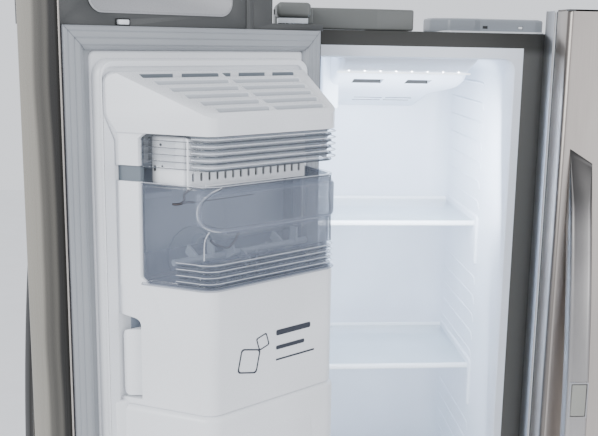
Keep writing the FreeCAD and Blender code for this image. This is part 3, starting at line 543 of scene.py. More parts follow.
def freezer_skin():
    """The steel shell, one sheet from the foot to the top, with a hemmed flange beside the gasket."""
    top = FREEZER_SKIN_TOP
    outer = door_section(HINGE_U, FREEZER_U, FRONT_V, REAR_V, 0.01)
    ob = prism("skin", outer, DOOR_BOTTOM, top, "z")
    hollow = door_section(HINGE_U + SHEET, FREEZER_U - SHEET, FRONT_V + SHEET, 0.06, 0.0088)
    cutters = [block("dispenser", (0.092, 0.288), (-0.06, 0.008), (0.947, 1.293)),
               prism("hollow", hollow, CAP_BOTTOM, top + 0.01, "z")]
    ob = cut(ob, cutters + hinge_rooms(-0.034, top + 0.01))
    flange = block("flange", (FREEZER_U - 0.0014, FREEZER_U), (REAR_V - 0.004, SEAL_V - 0.0018),
                   (DOOR_BOTTOM + 0.012, top))
    ob = combined(ob, flange, "UNION")
    ob.data.transform(FREEZER_DOOR)
    bevelled(ob, 0.0004, 2, 50)
    finished(ob, "freezer_door_shell", DOOR_STEEL, "freezer_door", ["freezer_door_skin"])
    hem = tube("hem", [(FREEZER_U - 0.0008, SEAL_V - 0.0016, z)
                       for z in (DOOR_BOTTOM + 0.012, top - 0.001)], 0.001, FREEZER_DOOR, 10)
    finished(outward(hem), "freezer_door_hem", STEEL, "freezer_door")
    gap = block("gap", (0.3717, FREEZER_U - 0.0015), (REAR_V + 0.0003, SEAL_V - 0.007),
                (0.081, TOP - 0.0035), FREEZER_DOOR)
    finished(outward(gap), "freezer_gasket_shadow", BLACK, "freezer_door")


def freezer_cap():
    """The dark moulding across the door's top, with its lamp pocket, seen from behind."""
    z0 = CAP_BOTTOM
    body = prism("cap", rectangle(HINGE_U + 0.0015, FREEZER_U - 0.0015, FRONT_V + 0.0015, 0.05), z0,
                 FREEZER_TOP, "z")
    pocket_u, pocket_foot = (0.139, 0.336), TOP + 0.013
    pocket_outline = round_outline(rectangle(*pocket_u, pocket_foot, TOP + 0.06), 0.0185, 10)
    pocket = prism("pocket", pocket_outline, 0.044, 0.06, "y")
    slot = prism("slot", round_outline(rectangle(0.284, 0.304, TOP - 0.0022, TOP + 0.0055), 0.001, 2),
                 0.0465, 0.06, "y")
    seam = block("seam", (0.1032, 0.104), (0.049, 0.06), (z0 - 0.01, FREEZER_TOP + 0.01))
    body = cut(body, hinge_rooms(-0.034, TOP + 0.05) + [pocket, slot, seam])
    body.data.transform(FREEZER_DOOR)
    bevelled(body, 0.0012, 2, 40)
    finished(body, "freezer_door_cap", DARK_CAP, "freezer_door", ["freezer_door_caps"])
    rib = prism("rib", round_outline(rectangle(0.104, 0.115, 0.049, 0.053), [0, 0, 0.003, 0.003], 4), z0,
                FREEZER_TOP, "z", FREEZER_DOOR)
    finished(rib, "freezer_door_cap_rib", DARK_CAP, "freezer_door")
    rings = []
    tray_steps = ((0.0, 0.0503), (-0.0012, 0.051), (0.0008, 0.0512), (0.003, 0.048), (0.0045, 0.0452),
                  (0.01, 0.0448))
    for inset, v in tray_steps:
        grow = inset - 0.0004
        shape = rectangle(pocket_u[0] + grow, pocket_u[1] - grow, pocket_foot + grow, TOP + 0.0345)
        corner = 0.0175 - max(inset, 0)
        outline = round_outline(shape, [corner, corner, 0, 0], 10)
        rings.append([(a, v, b) for a, b in outline])
    tray = loft("tray", rings, FREEZER_DOOR)
    finished(tray, "cap_pocket", SILVER, "freezer_door")
    dome = []
    lens_u, lens_z, flat = 0.156, TOP + 0.03, 0.24
    for k in range(9):
        t = k / 8 * math.pi / 2
        r = 0.016 * math.cos(t) + 0.0002
        v = 0.0447 + 0.005 * math.sin(t)
        dome.append([(lens_u + r * math.cos(a), v, lens_z + r * math.sin(a) * flat) for a in circle(24)])
    ball = loft("ball", dome, FREEZER_DOOR)
    finished(ball, "cap_pocket_lens", CLEAR, "freezer_door")
    drop = []
    for a in circle(20):
        r = 0.0032 * (1 + 0.9 * max(0, math.cos(a)) ** 3)
        drop.append((0.2345 - r * math.cos(a), TOP + 0.0172 - r * math.sin(a) * 0.85))
    hole = prism("hole", drop, 0.0449, 0.0455, "y", FREEZER_DOOR)
    finished(hole, "cap_pocket_hole", BLACK, "freezer_door")
    clip = bevelled(block("clip", (0.287, 0.3), (0.046, 0.0535), (TOP - 0.0012, TOP + 0.0043)), 0.0009, 3)
    on_door(clip, "door_top_clip", WHITE, "white_plastic")


def gasket(name, u1, node, body, matrix):
    """A magnetic gasket: a hollow lip section carried round a frame with mitred corners."""
    width = 0.027
    z0, z1 = 0.08, TOP - 0.0029
    section = [(0.0, 0.0), (0.0, 0.0085), (0.0018, 0.0108), (0.005, 0.011), (0.0062, 0.0104),
               (0.0078, 0.011),
               (0.0125, 0.011), (0.014, 0.0103), (0.0156, 0.0109), (0.0205, 0.0106), (0.0222, 0.0088),
               (0.024, 0.0082), (0.0262, 0.006), (width, 0.003), (width, 0.0)]
    rings = []
    for corner in range(5):
        ring = []
        for inset, height in section:
            u = (-0.009 + inset, u1 - inset)[corner % 4 in (1, 2)]
            z = (z0 + inset, z1 - inset)[corner % 4 in (2, 3)]
            ring.append((u, REAR_V + height, z))
        rings.append(ring)
    ob = loft("gasket", rings, matrix, caps=False)
    outward(ob)
    finished(ob, name, GASKET, body, [node], 25)
    seams = []
    for u, inward in ((-0.009, 1), (u1, -1)):
        for z, up in ((z0, 1), (z1, -1)):
            line = [(u + inward * i, REAR_V + 0.0109 - max(0.0, (i - 0.021) * 0.5), z + up * i)
                    for i in (0.001, 0.021, width)]
            seams.append(bead(line, 0.00035, 6))
    seam = joined("seams", seams)
    seam.data.transform(matrix)
    outward(seam)
    finished(seam, name + "_mitres", VENT_GREY, body)


def raised_panel(u0, u1, z0, z1, radius, foot, base_v, top_v, name, matrix):
    """A liner's raised field: a sloping rim up from the base and a round shoulder."""
    rings = []
    for k in range(9):
        t = k / 8 * math.pi / 2
        inset = foot * (1 - math.cos(t))
        v = base_v + (top_v - base_v) * math.sin(t)
        outline = round_outline(rectangle(u0 + inset, u1 - inset, z0 + inset, z1 - inset),
                                max(radius - inset, 0.002), 8)
        rings.append([(a, v, b) for a, b in outline])
    return loft(name, rings, matrix)


def freezer_door_liner():
    """The liner: its backing sheet, raised fields and the ridge round the ice room."""
    sheet = block("sheet", (HINGE_U + SHEET, FREEZER_U - SHEET), (0.043, 0.0452), (0.08, CAP_BOTTOM))
    on_door(sheet, "freezer_door_backing", GASKET, "gasket_grey", ["freezer_door_liner"])
    field = raised_panel(0.0125, 0.3365, 0.104, TOP - 0.0305, 0.008, 0.004, 0.0452, 0.0475, "field",
                         FREEZER_DOOR)
    frame_ = raised_panel(0.017, 0.3345, 0.121, TOP - 0.039, 0.02, 0.01, 0.047, 0.0605, "frame",
                          FREEZER_DOOR)
    finished(joined("liner", [field, frame_]), "freezer_door_liner_moulding", WHITE, "freezer_door",
             (), 40)
    outline = round_outline(rectangle(0.0225, 0.332, 0.14, TOP - 0.0415), 0.016, 8)
    inner = [(0.03, 0.15), (0.3175, 0.15), (0.3175, TOP - 0.131), (0.3305, TOP - 0.1),
             (0.3305, TOP - 0.048), (0.03, TOP - 0.048)]
    opening = prism("opening", round_outline(inner, [0.012, 0.012, 0.014, 0.02, 0.012, 0.012], 8), 0.05,
                    0.08, "y")
    ridge = cut(prism("ridge", outline, 0.06, 0.0655, "y"), [opening])
    ridge.data.transform(FREEZER_DOOR)
    bevelled(ridge, 0.003, 5, 45)
    finished(ridge, "freezer_door_liner_ridge", WHITE, "freezer_door", (), 40)


freezer_skin()
freezer_cap()
gasket("freezer_gasket", 0.3715, "freezer_door_gasket", "freezer_door", FREEZER_DOOR)
freezer_door_liner()


# ---- ice room on the freezer door
ROOM_FRONT = 0.172
ROOM_PLAN = [(0.314, PANEL_V), (0.26, ROOM_FRONT), (0.066, ROOM_FRONT), (0.035, PANEL_V)]
WINDOW_V = 0.0875         # the uprights beside the window end here
TAB_END = TOP - 0.159
ROOM_CORNER = 0.02
LIP = TOP - 0.121         # lower edge of the hood
ROOF = TOP - 0.054        # the flat back part of the hood's roof
ROOF_FLAT_V = 0.076
BIN_TOP = TOP - 0.1778
BIN_SPLIT = TOP - 0.297   # the clear bucket ends and the white cover starts
SEAM = TOP - 0.449        # the cover ends and the lower housing starts
FOOT_PITCH = 0.0073       # between the ribs along the bucket's foot
IN_BIN = {"slot": "white_plastic", "body": "ice_bin"}


def room_plan(inset, v0=PANEL_V, v1=ROOM_FRONT, corner=ROOM_CORNER, steps=8):
    """The ice room's plan between two depths, its flanks moved in by inset."""
    (ua, va), (ub, vb), (uc, vc), (ud, vd) = ROOM_PLAN
    left = (ub - ua) / (vb - va)
    right = (uc - ud) / (vc - vd)
    points = [(ua + left * (v0 - va) - inset, v0), (ua + left * (v1 - va) - inset, v1),
              (ud + right * (v1 - vd) + inset, v1), (ud + right * (v0 - vd) + inset, v0)]
    return round_outline(points, [0, corner, corner, 0], steps)


def room_path(inset, v0, v1, corner, spacing=0.003):
    """The plan as an open path of evenly spaced points, each with its outward direction."""
    corners = room_plan(inset, v0, v1, corner, 12)
    points, out = [], []
    for a, b in zip(corners, corners[1:]):
        a, b = Vector(a), Vector(b)
        parts = max(1, int((b - a).length / spacing))
        for k in range(parts):
            points.append(a.lerp(b, k / parts))
    points.append(Vector(corners[-1]))
    for i in range(len(points)):
        along = points[min(i + 1, len(points) - 1)] - points[max(i - 1, 0)]
        out.append((points[i], Vector((-along.y, along.x)).normalized()))
    return out


def level_path(z, inset, after=0.0, end=0.089):
    """A level line round the clear parts at height z, where v is more than after."""
    path = room_path(inset, end, ROOM_FRONT - inset, ROOM_CORNER)
    return [(*p, z) for p, outward_ in path if p.y > after]


def roof_outline(rise, v_back=0.05):
    """Side view of the space over the ice room: flat at the back, then sloping to the lip."""
    return [(v_back, ROOF + rise), (ROOF_FLAT_V, ROOF + rise), (0.165, TOP - 0.0975 + rise),
            (0.25, TOP - 0.139 + rise), (0.25, TOP + 0.03), (v_back, TOP + 0.03)]


def slot_edges(v):
    """u of the grille openings' left and right ends and of the divider, at depth v."""
    t = (v - 0.08) / (0.16 - 0.08)
    return 0.295 - 0.057 * t, 0.1795 - 0.021 * t, 0.0597 + 0.0168 * t


def smoothed(t):
    """A soft step from 0 to 1."""
    t = max(0.0, min(1.0, t))
    return t * t * (3 - 2 * t)


def hood_rings(inset, low, high, back):
    """The hood's plan at several heights; its left flank is wider over the window."""
    rings = []
    for k in range(13):
        z = low + (high - low) * k / 12
        wide = 0.0145 * smoothed((z - TOP + 0.131) / 0.034)
        left = ROOM_PLAN[0][0] + wide - inset
        points = [(left, back), (left - 0.0012, 0.0655),
                  (ROOM_PLAN[1][0] - inset * 0.9, ROOM_FRONT - inset),
                  (ROOM_PLAN[2][0] + inset * 0.9, ROOM_FRONT - inset), (ROOM_PLAN[3][0] + inset, back)]
        plan = round_outline(points, [0, 0.004, ROOM_CORNER - inset * 0.6, ROOM_CORNER - inset * 0.6, 0], 8)
        rings.append([(a, b, z) for a, b in plan])
    return rings


def tab_plan(far=WINDOW_V):
    """Plan of the left upright beside the window, and of its mirror image on the right."""
    (ua, va), (ub, vb) = ROOM_PLAN[:2]
    (uc, vc), (ud, vd) = ROOM_PLAN[2:]
    end = ua + (ub - ua) * (far - va) / (vb - va)
    other = ud + (uc - ud) * (far - vd) / (vc - vd)
    left = [(ua, 0.0595), (ua - 0.0012, 0.0655), (end, far), (end - 0.006, far), (ua - 0.022, 0.0595)]
    right = [(ud, 0.0595), (ud + 0.022, 0.0595), (other + 0.006, far), (other, far), (ud + 0.0012, 0.0655)]
    return (round_outline(left, [0, 0.003, 0.0015, 0.0015, 0], 3),
            round_outline(right, [0, 0, 0.0015, 0.0015, 0.003], 3))


def hood():
    """The hood over the ice maker: sloping slotted roof, flared left flank, tabs beside the window."""
    body = loft("hood", hood_rings(0, LIP, TOP - 0.05, 0.0595))
    face = round_outline(rectangle(0.0, ROOM_PLAN[0][0] + 0.0145, TOP - 0.3, TOP - 0.054), 0.013, 8)
    body = combined(body, prism("face", face, 0.03, 0.3, "y"), "INTERSECT")
    body = cut(body, [prism("over", roof_outline(0), 0, 0.4, "x")])
    bevelled(body, 0.0055, 5, 40)
    inner = loft("inner", hood_rings(0.003, LIP - 0.02, TOP - 0.05, 0.066))
    inner = cut(inner, [prism("under", roof_outline(-0.0042, 0.04), 0, 0.4, "x")])
    slots = []
    rows, first, last, bar = 6, 0.0785, 0.161, 0.005
    roof_slope = 0.489
    pitch = (last - first + bar) / rows
    for i in range(rows):
        v0 = first + i * pitch
        v1 = v0 + pitch - bar
        left, middle, right = slot_edges((v0 + v1) / 2)
        for u0, u1 in ((middle + 0.0025, left), (right, middle - 0.0025)):
            slots.append(prism("slot", round_outline(rectangle(u0, u1, v0, v1), 0.002, 4), LIP, TOP, "z"))
    body = cut(body, [inner] + slots)
    for plan in tab_plan():
        body = combined(body, prism("tab", plan, TAB_END, LIP + 0.004, "z"), "UNION")
    web = round_outline([(WINDOW_V - 0.004, LIP + 0.004), (WINDOW_V - 0.004, LIP - 0.012),
                         (WINDOW_V + 0.0005, LIP - 0.006), (WINDOW_V + 0.009, LIP + 0.001),
                         (WINDOW_V + 0.009, LIP + 0.004)], [0, 0, 0.006, 0, 0], 5)
    (ua, va), (ub, vb) = ROOM_PLAN[:2]
    wall = prism("wall", [(ua, va), (ub, vb), (ub - 0.0035, vb), (ua - 0.0045, va)], LIP - 0.02,
                 LIP + 0.004, "z")
    body = combined(body, combined(prism("web", web, 0.26, 0.33, "x"), wall, "INTERSECT"), "UNION")
    body.data.transform(FREEZER_DOOR)
    bevelled(body, 0.001, 2, 50)
    finished(body, "ice_room_hood", WHITE, "freezer_door", ["ice_room_housing"], 38)
    # Under the slots: vanes in painted shade, and under the first row darker vanes standing for the shaded
    # inside.
    blades, dark, clips = [], [], []
    for i in range(rows):
        v = first + i * pitch
        left, middle, right = slot_edges(v)
        roof = ROOF - max(0.0, v - ROOF_FLAT_V) * roof_slope
        profile = [(v + 0.0002, roof - 0.0008), (v + 0.0014, roof - 0.0014), (v + 0.0024, roof - 0.016),
                   (v + 0.0006, roof - 0.0165)]
        target = dark if i == 0 else blades
        for u0, u1 in ((middle + 0.001, left + 0.002), (right - 0.002, middle - 0.001)):
            target.append(prism("blade", profile, u0, u1, "x"))
    for u in (0.098, 0.152, 0.236):
        clips.append(block("clip", (u, u + 0.011), (first + 0.0012, first + 0.0034),
                           (TOP - 0.064, TOP - 0.0555)))
    groups_on_door(((blades, "grille_vanes", VANE_SHADE), (dark, "grille_shaded_back", INSIDE_SHADE),
                    (clips, "grille_clips", WHITE)), "white_plastic")
    # Painted shade: a black patch under the last row of slots for the shaded opening of the ice maker below.
    patch = block("patch", (0.196, 0.222), (first + 5 * pitch + 0.002, first + 5 * pitch + 0.0032),
                  (TOP - 0.112, TOP - 0.0985))
    on_door(patch, "grille_patch_shadow", BLACK, "dark_plastic")
    # Painted shade: the hood's white inside is coloured dark grey.
    shade = loft("shade", [[(a, b, z) for a, b in room_plan(0.0045, 0.0665, ROOM_FRONT - 0.0045, 0.014)]
                           for z in (LIP + 0.004, TOP - 0.06)])
    shade = cut(shade, [prism("above", roof_outline(-0.02, 0.04), 0, 0.4, "x")])
    on_door(shade, "hood_inside", INSIDE_SHADE, "white_plastic")


hood()


def ice_room_tabs():
    """The flange that fixes the hood to the liner."""
    shape = [(0.026, TAB_END - 0.001), (0.315, TAB_END - 0.001), (0.315, TOP - 0.131), (0.3295, TOP - 0.1),
             (0.3295, TOP - 0.0535), (0.026, TOP - 0.0535)]
    radii = [0.002, 0.002, 0.012, 0.018, 0.014, 0.012]
    flange = prism("flange", round_outline(shape, radii, 8), 0.0595, 0.064, "y")
    flange.data.transform(FREEZER_DOOR)
    bevelled(flange, 0.0018, 4, 45)
    finished(flange, "ice_room_flange", WHITE, "freezer_door")


def lower_housing():
    """The opaque housing below the bin, with its round shoulder."""
    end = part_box("ice_room_housing")[0].z
    body = prism("low", room_plan(-0.004, PANEL_V - 0.001, ROOM_FRONT + 0.003, 0.024), end, SEAM, "z")
    bevelled(body, 0.009, 7, 40)
    shelf = round_outline([(0.326, 0.058), (0.326, 0.066), (0.3125, 0.07), (0.02, 0.07), (0.02, 0.058)],
                          [0, 0.006, 0.008, 0.006, 0], 4)
    back = prism("back", shelf, end - 0.01, SEAM + 0.004, "z")
    bevelled(back, 0.006, 5, 40)
    whole = joined("low", [body, back])
    plate = [(0.095, SEAM - 0.15), (0.245, SEAM - 0.15), (0.232, SEAM - 0.034), (0.108, SEAM - 0.034)]
    relief = prism("plate", round_outline(plate, 0.01, 5), 0.17, 0.1756, "y")
    bevelled(relief, 0.0012, 3, 40)
    capsule = prism("capsule", round_outline(rectangle(0.3175, 0.3245, SEAM - 0.12, SEAM - 0.03), 0.0033,
                                             6), 0.06, 0.0668, "y")
    bevelled(capsule, 0.001, 2, 40)
    whole = joined("low", [whole, relief, capsule])
    on_door(whole, "ice_room_lower_housing", WHITE, "white_plastic")


def window_back():
    """What shows behind the clear bin: the liner's wall, the outlet's round plate and a ledge."""
    # The wall and the outlet plate are coloured as painted shade.
    wall = block("wall", (0.046, 0.2985), (0.0606, 0.0614), (SEAM + 0.01, TOP - 0.124))
    on_door(wall, "ice_room_back_wall", WALL_SHADE, "white_plastic")
    # Painted shade: the side walls beside the window are dark grey.
    sides = []
    for plan in tab_plan(0.0865):
        centre = sum(a for a, b in plan) / len(plan)
        inward = [(a + (0.0035 if centre < 0.1 else -0.0035), b) for a, b in plan]
        sides.append(prism("side", inward, SEAM + 0.16, TOP - 0.124, "z"))
    side = joined("side", sides)
    on_door(side, "ice_room_side_walls", INSIDE_SHADE, "white_plastic")
    parts = []
    for cu, cz, radius, width, height in ((0.211, 0.279, 0.034, 0.0009, 0.003),
                                          (0.198, 0.268, 0.01, 0.0022, 0.008)):
        rings = []
        for dr, dv in ((width, 0), (width * 0.7, height), (-width * 0.7, height), (-width, 0)):
            rings.append([(cu + (radius + dr) * math.cos(t), 0.0613 + dv,
                           TOP - cz + (radius + dr) * math.sin(t))
                          for t in circle(64)])
        parts.append(loft("ring", rings, None, False))
    ledge = [(0.0612, TOP - 0.19), (0.0612, TOP - 0.204), (0.08, TOP - 0.2005), (0.08, TOP - 0.1935)]
    parts.append(prism("ledge", round_outline(ledge, [0, 0, 0.002, 0.002], 3), 0.25, 0.2975, "x"))
    back = joined("back", parts)
    on_door(back, "ice_outlet_plate", WALL_SHADE, "white_plastic", (), 40)


def moulded_wall(name, heights, v0, base, thickness, depth, corner=ROOM_CORNER):
    """A clear wall bent round the ice room; depth(u, v, z) is how far it is pushed outwards."""
    path = room_path(base, v0, ROOM_FRONT - base, corner)
    rings = []
    for z in heights:
        rings.append([(*(p + n * depth(p.x, p.y, z)), z) for p, n in path])
    sheet = edited(loft(name, rings, None, False, False), lambda bm: bmesh.ops.recalc_face_normals(bm,
            faces=bm.faces))
    return thickened(sheet, thickness)


def steps(low, high, count):
    """Evenly spaced numbers from low to high."""
    return [low + (high - low) * k / count for k in range(count + 1)]


def rib(z, low, high, count, height):
    """Outward push of a row of half-round ribs between two heights."""
    if z <= low or z >= high:
        return 0.0
    t = (z - low) / (high - low) * count
    return height * abs(math.sin(math.pi * t)) ** 0.65


def clear_strip():
    """The ribbed clear window under the hood."""
    low, high, ribs = TOP - 0.1602, TOP - 0.1215, 5

    def depth(u, v, z):
        front = smoothed((v - 0.14) / 0.014)
        return rib(z, low + 0.0008, high - 0.001, ribs, 0.0046) * (0.1 + 0.9 * front)
    sheet = moulded_wall("strip", steps(high, low, 48), 0.0885, 0.0034, 0.002, depth)
    pitch = (high - low) / ribs
    # Dark beads in the grooves and bright beads on the crests: painted shade and painted highlights on the
    # ribs.
    dark, bright = [], []
    for k in range(ribs + 1):
        groove = level_path(low + 0.0006 + k * pitch, 0.003)
        dark.append(bead(groove, 0.0004, 6))
        dark.append(bead([q for q in groove if q[1] > 0.148], 0.001, 6))
        if k < ribs:
            crest = level_path(low + (k + 0.62) * pitch, -0.0012)
            bright.append(bead([q for q in crest if q[1] > 0.15], 0.0008, 6))
    groups_on_door(((dark, "clear_window_groove_shadows", CLEAR_PAINTED_SHADOW),
                    (bright, "clear_window_crest_highlights", CLEAR_PAINTED_HIGHLIGHT)),
                   "clear_plastic", 60)
    on_door(sheet, "ice_room_clear_window", CLEAR_RIBBED, "clear_plastic", ["ice_room_clear_strip"], 60)


def ice_bin():
    """The clear bucket: a hand hold pressed into its front, level ribs along its foot."""
    top, low = BIN_TOP, BIN_SPLIT
    rib_top, ribs = TOP - 0.263, 4

    def depth(u, v, z):
        edge = 0.268 - 0.03 * smoothed((TOP - 0.212 - z) / 0.022) ** 2
        across = smoothed((edge - u) / 0.009 + 0.5)
        right = 0.35 + 0.65 * smoothed((u - 0.07) / 0.01)
        hold = smoothed((top - 0.004 - z) / 0.006) * (1 - smoothed((TOP - 0.224 - z) / 0.012))
        front = smoothed((v - 0.15) / 0.014)
        lip = 0.0014 * smoothed((z - top + 0.004) / 0.002)
        foot = -0.006 * smoothed((low + 0.005 - z) / 0.005) ** 2
        return lip + foot - 0.009 * across * right * hold * front + rib(z, low + 0.004, rib_top, ribs,
                0.003) * front
    heights = steps(top, top - 0.012, 8) + steps(top - 0.014, TOP - 0.218, 10) + steps(TOP - 0.22,
            TOP - 0.242, 12)
    heights += steps(TOP - 0.246, rib_top + 0.001, 5) + steps(rib_top, low, 44)
    wall = moulded_wall("bin", heights, 0.089, 0.003, 0.0022, depth)
    floor = prism("floor", room_plan(0.009, 0.089, ROOM_FRONT - 0.009, 0.014), low + 0.0005, low + 0.003,
                  "z")
    back = block("back", (0.046, 0.296), (0.089, 0.0912), (low + 0.002, low + 0.036))
    fins = [prism("fin", round_outline(rectangle(u, u + 0.0022, low + 0.01, z1), 0.001, 2), 0.158, 0.1655,
                  "y")
            for u, z1 in ((0.08, low + 0.045), (0.09, low + 0.03))]
    post = prism("post", room_plan(0.0055, 0.0885, 0.1, 0.001), low + 0.01, top - 0.002, "z")
    keep = block("keep", (0.0, 0.066), (0.08, 0.11), (low, top))
    post = combined(post, keep, "INTERSECT")
    whole = joined("bin", [wall, floor, back, post] + fins)
    on_door(whole, "ice_bin_clear_bucket", CLEAR_BIN, "clear_plastic", ["ice_bin"], 50, body="ice_bin")
    # Painted shade: the inside below the bin's clear part takes the shaded wall colour.
    inner = prism("inner", room_plan(0.018, 0.096, ROOM_FRONT - 0.022, 0.012), SEAM + 0.03, low - 0.0005,
                  "z")
    on_door(inner, "ice_bin_base", WALL_SHADE, **IN_BIN)


def flowing(points, count=10):
    """A smooth curve through the points."""
    out = []
    for i in range(len(points) - 1):
        a, b, c, d = [Vector(points[max(0, min(len(points) - 1, i + k))]) for k in (-1, 0, 1, 2)]
        for k in range(count):
            t = k / count
            square = (2 * a - 5 * b + 4 * c - d) * t * t
            cube = (3 * b - a - 3 * c + d) * t ** 3
            out.append(0.5 * (2 * b + (c - a) * t + square + cube))
    return out + [Vector(points[-1])]


def bin_edges():
    """Beads along the clear bin's rolled edges: painted highlights and painted shadow lines on its rim, the
    rim of its hand hold and the ribs along its foot.
    """
    hold = [(0.244, 0.17, TOP - 0.179), (0.258, 0.167, TOP - 0.185), (0.266, 0.159, TOP - 0.196),
            (0.268, 0.156, TOP - 0.208),
            (0.266, 0.159, TOP - 0.219), (0.259, 0.166, TOP - 0.226), (0.245, 0.17, TOP - 0.229),
            (0.2, 0.17, TOP - 0.2296),
            (0.14, 0.17, TOP - 0.23), (0.09, 0.17, TOP - 0.2304)]
    rim = level_path(BIN_TOP, 0.002)
    foot = level_path(BIN_SPLIT + 0.0012, 0.0028)
    right = [(0.076, 0.17, BIN_TOP - 0.001), (0.0775, 0.17, TOP - 0.205), (0.0755, 0.17, TOP - 0.228),
             (0.0745, 0.17, TOP - 0.262)]
    corner = [(0.259, 0.1665, TOP - 0.2285), (0.263, 0.163, TOP - 0.24), (0.2635, 0.1625, TOP - 0.262)]
    bright = [bead(flowing(hold), 0.001, 8), bead(flowing(corner), 0.0007, 8), bead(rim, 0.0004, 8)]
    for k in range(4):
        z = BIN_SPLIT + 0.0075 + FOOT_PITCH * k
        bright.append(bead(level_path(z, 0.0004, 0.13), 0.0005, 6))
    inner = [(u - 0.0042, v, z + (0.003 if z < TOP - 0.222 else 0.0)) for u, v, z in hold]
    dark = [bead(flowing(inner), 0.0007, 8), bead(flowing(right), 0.0011, 8),
            bead([(u, v, z - 0.0014) for u, v, z in rim], 0.0005, 8), bead(foot, 0.0007, 8)]
    for k in range(4):
        z = BIN_SPLIT + 0.004 + FOOT_PITCH * k
        dark.append(bead(level_path(z, 0.002, 0.13), 0.0006, 6))
    groups_on_door(((bright, "bin_edge_highlights", CLEAR_PAINTED_HIGHLIGHT), (dark, "bin_edge_shadows", CLEAR_PAINTED_SHADOW)),
                   "clear_plastic", 60, "ice_bin")


def grip_outline():
    """The finger recess in the bin cover's left edge, as (v, z)."""
    return round_outline([(0.04, TOP - 0.4415), (0.0872, TOP - 0.4415), (0.0872, TOP - 0.342),
                          (0.04, TOP - 0.333)],
                         [0, 0.0008, 0.0085, 0], 6)


def bin_cover():
    """The bin's opaque front, its uprights beside the window and the finger recess in its left edge."""
    outline = room_plan(0.0, 0.0655, ROOM_FRONT, ROOM_CORNER, 12)
    plan = [(ROOM_PLAN[0][0], PANEL_V + 0.0005)] + outline + [(ROOM_PLAN[3][0], PANEL_V + 0.0005)]
    cover = prism("cover", plan, SEAM + 0.0006, BIN_SPLIT - 0.0004, "z")
    for upright in tab_plan():
        raised = [(a, max(b, PANEL_V + 0.0005)) for a, b in upright]
        cover = combined(cover, prism("post", raised, BIN_SPLIT - 0.004, TOP - 0.1775, "z"), "UNION")
    (ua, va), (ub, vb) = ROOM_PLAN[:2]
    web = round_outline([(WINDOW_V - 0.002, BIN_SPLIT - 0.002), (WINDOW_V + 0.012, BIN_SPLIT - 0.002),
                         (WINDOW_V + 0.002, BIN_SPLIT + 0.006),
                         (WINDOW_V - 0.002, BIN_SPLIT + 0.012)], [0, 0, 0.006, 0], 5)
    foot = prism("foot", web, 0.26, 0.33, "x")
    flank = prism("flank", [(ua, va), (ub, vb), (ub - 0.003, vb), (ua - 0.004, va)], BIN_SPLIT - 0.004,
                  BIN_SPLIT + 0.02, "z")
    cover = combined(cover, combined(foot, flank, "INTERSECT"), "UNION")
    cover = cut(cover, [prism("grip", grip_outline(), 0.284, 0.34, "x")])
    bevelled(cover, 0.0012, 3, 38)
    on_door(cover, "ice_bin_front", WHITE, "white_plastic", ["ice_bin_cover"], 34, body="ice_bin")
    plan = round_outline([(0.285, 0.0612), (0.3105, 0.0612), (0.3105, 0.07), (0.2935, 0.085),
                          (0.285, 0.085)],
                         [0, 0, 0.007, 0.004, 0], 6)
    shape = round_outline([(0.0635, TOP - 0.4385), (0.0845, TOP - 0.4385), (0.0845, TOP - 0.356),
                           (0.0635, TOP - 0.356)],
                          [0.01, 0.003, 0.004, 0.009], 6)
    pad = combined(prism("pad", plan, TOP - 0.4402, TOP - 0.3545, "z"),
                   prism("shape", shape, 0.27, 0.33, "x"), "INTERSECT")
    bevelled(pad, 0.003, 4, 50)
    on_door(pad, "ice_bin_grip", WHITE, **IN_BIN)
    # Painted shade: a dark sheet at the back of the finger recess.
    dark = block("dark", (0.2842, 0.285), (0.0612, 0.0868), (TOP - 0.441, TOP - 0.3335))
    on_door(dark, "ice_bin_grip_back", INSIDE_SHADE, **IN_BIN)


def printed_mark():
    """A generic print on the bin: two outlined ice cubes and three plain bars."""
    front = ROOM_FRONT + 0.00025
    parts = []

    def outline_square(u, z, half, turn, width):
        rings = []
        for size in (half, half - width):
            corners = round_outline(rectangle(-size, size, -size, size), size * 0.28, 5)
            rings.append([(u + a * math.cos(turn) - b * math.sin(turn), front,
                           z + a * math.sin(turn) + b * math.cos(turn)) for a, b in corners])
        parts.append(loft("square", rings, None, False))

    outline_square(0.206, TOP - 0.392, 0.015, 0.22, 0.0018)
    outline_square(0.185, TOP - 0.372, 0.0085, -0.3, 0.0015)
    for u0, u1, z, height in ((0.108, 0.164, TOP - 0.369, 0.007), (0.118, 0.164, TOP - 0.387, 0.005),
                              (0.101, 0.164, TOP - 0.401, 0.0022)):
        bar = round_outline(rectangle(u0, u1, z, z + height), height * 0.3, 3)
        parts.append(piece("bar", [(a, front, b) for a, b in bar], [tuple(range(len(bar)))]))
    mark = joined("mark", parts)
    mark.data.transform(FREEZER_DOOR)
    thickened(mark, 0.0002, 0)
    finished(mark, "printed_mark", INK, "ice_bin")


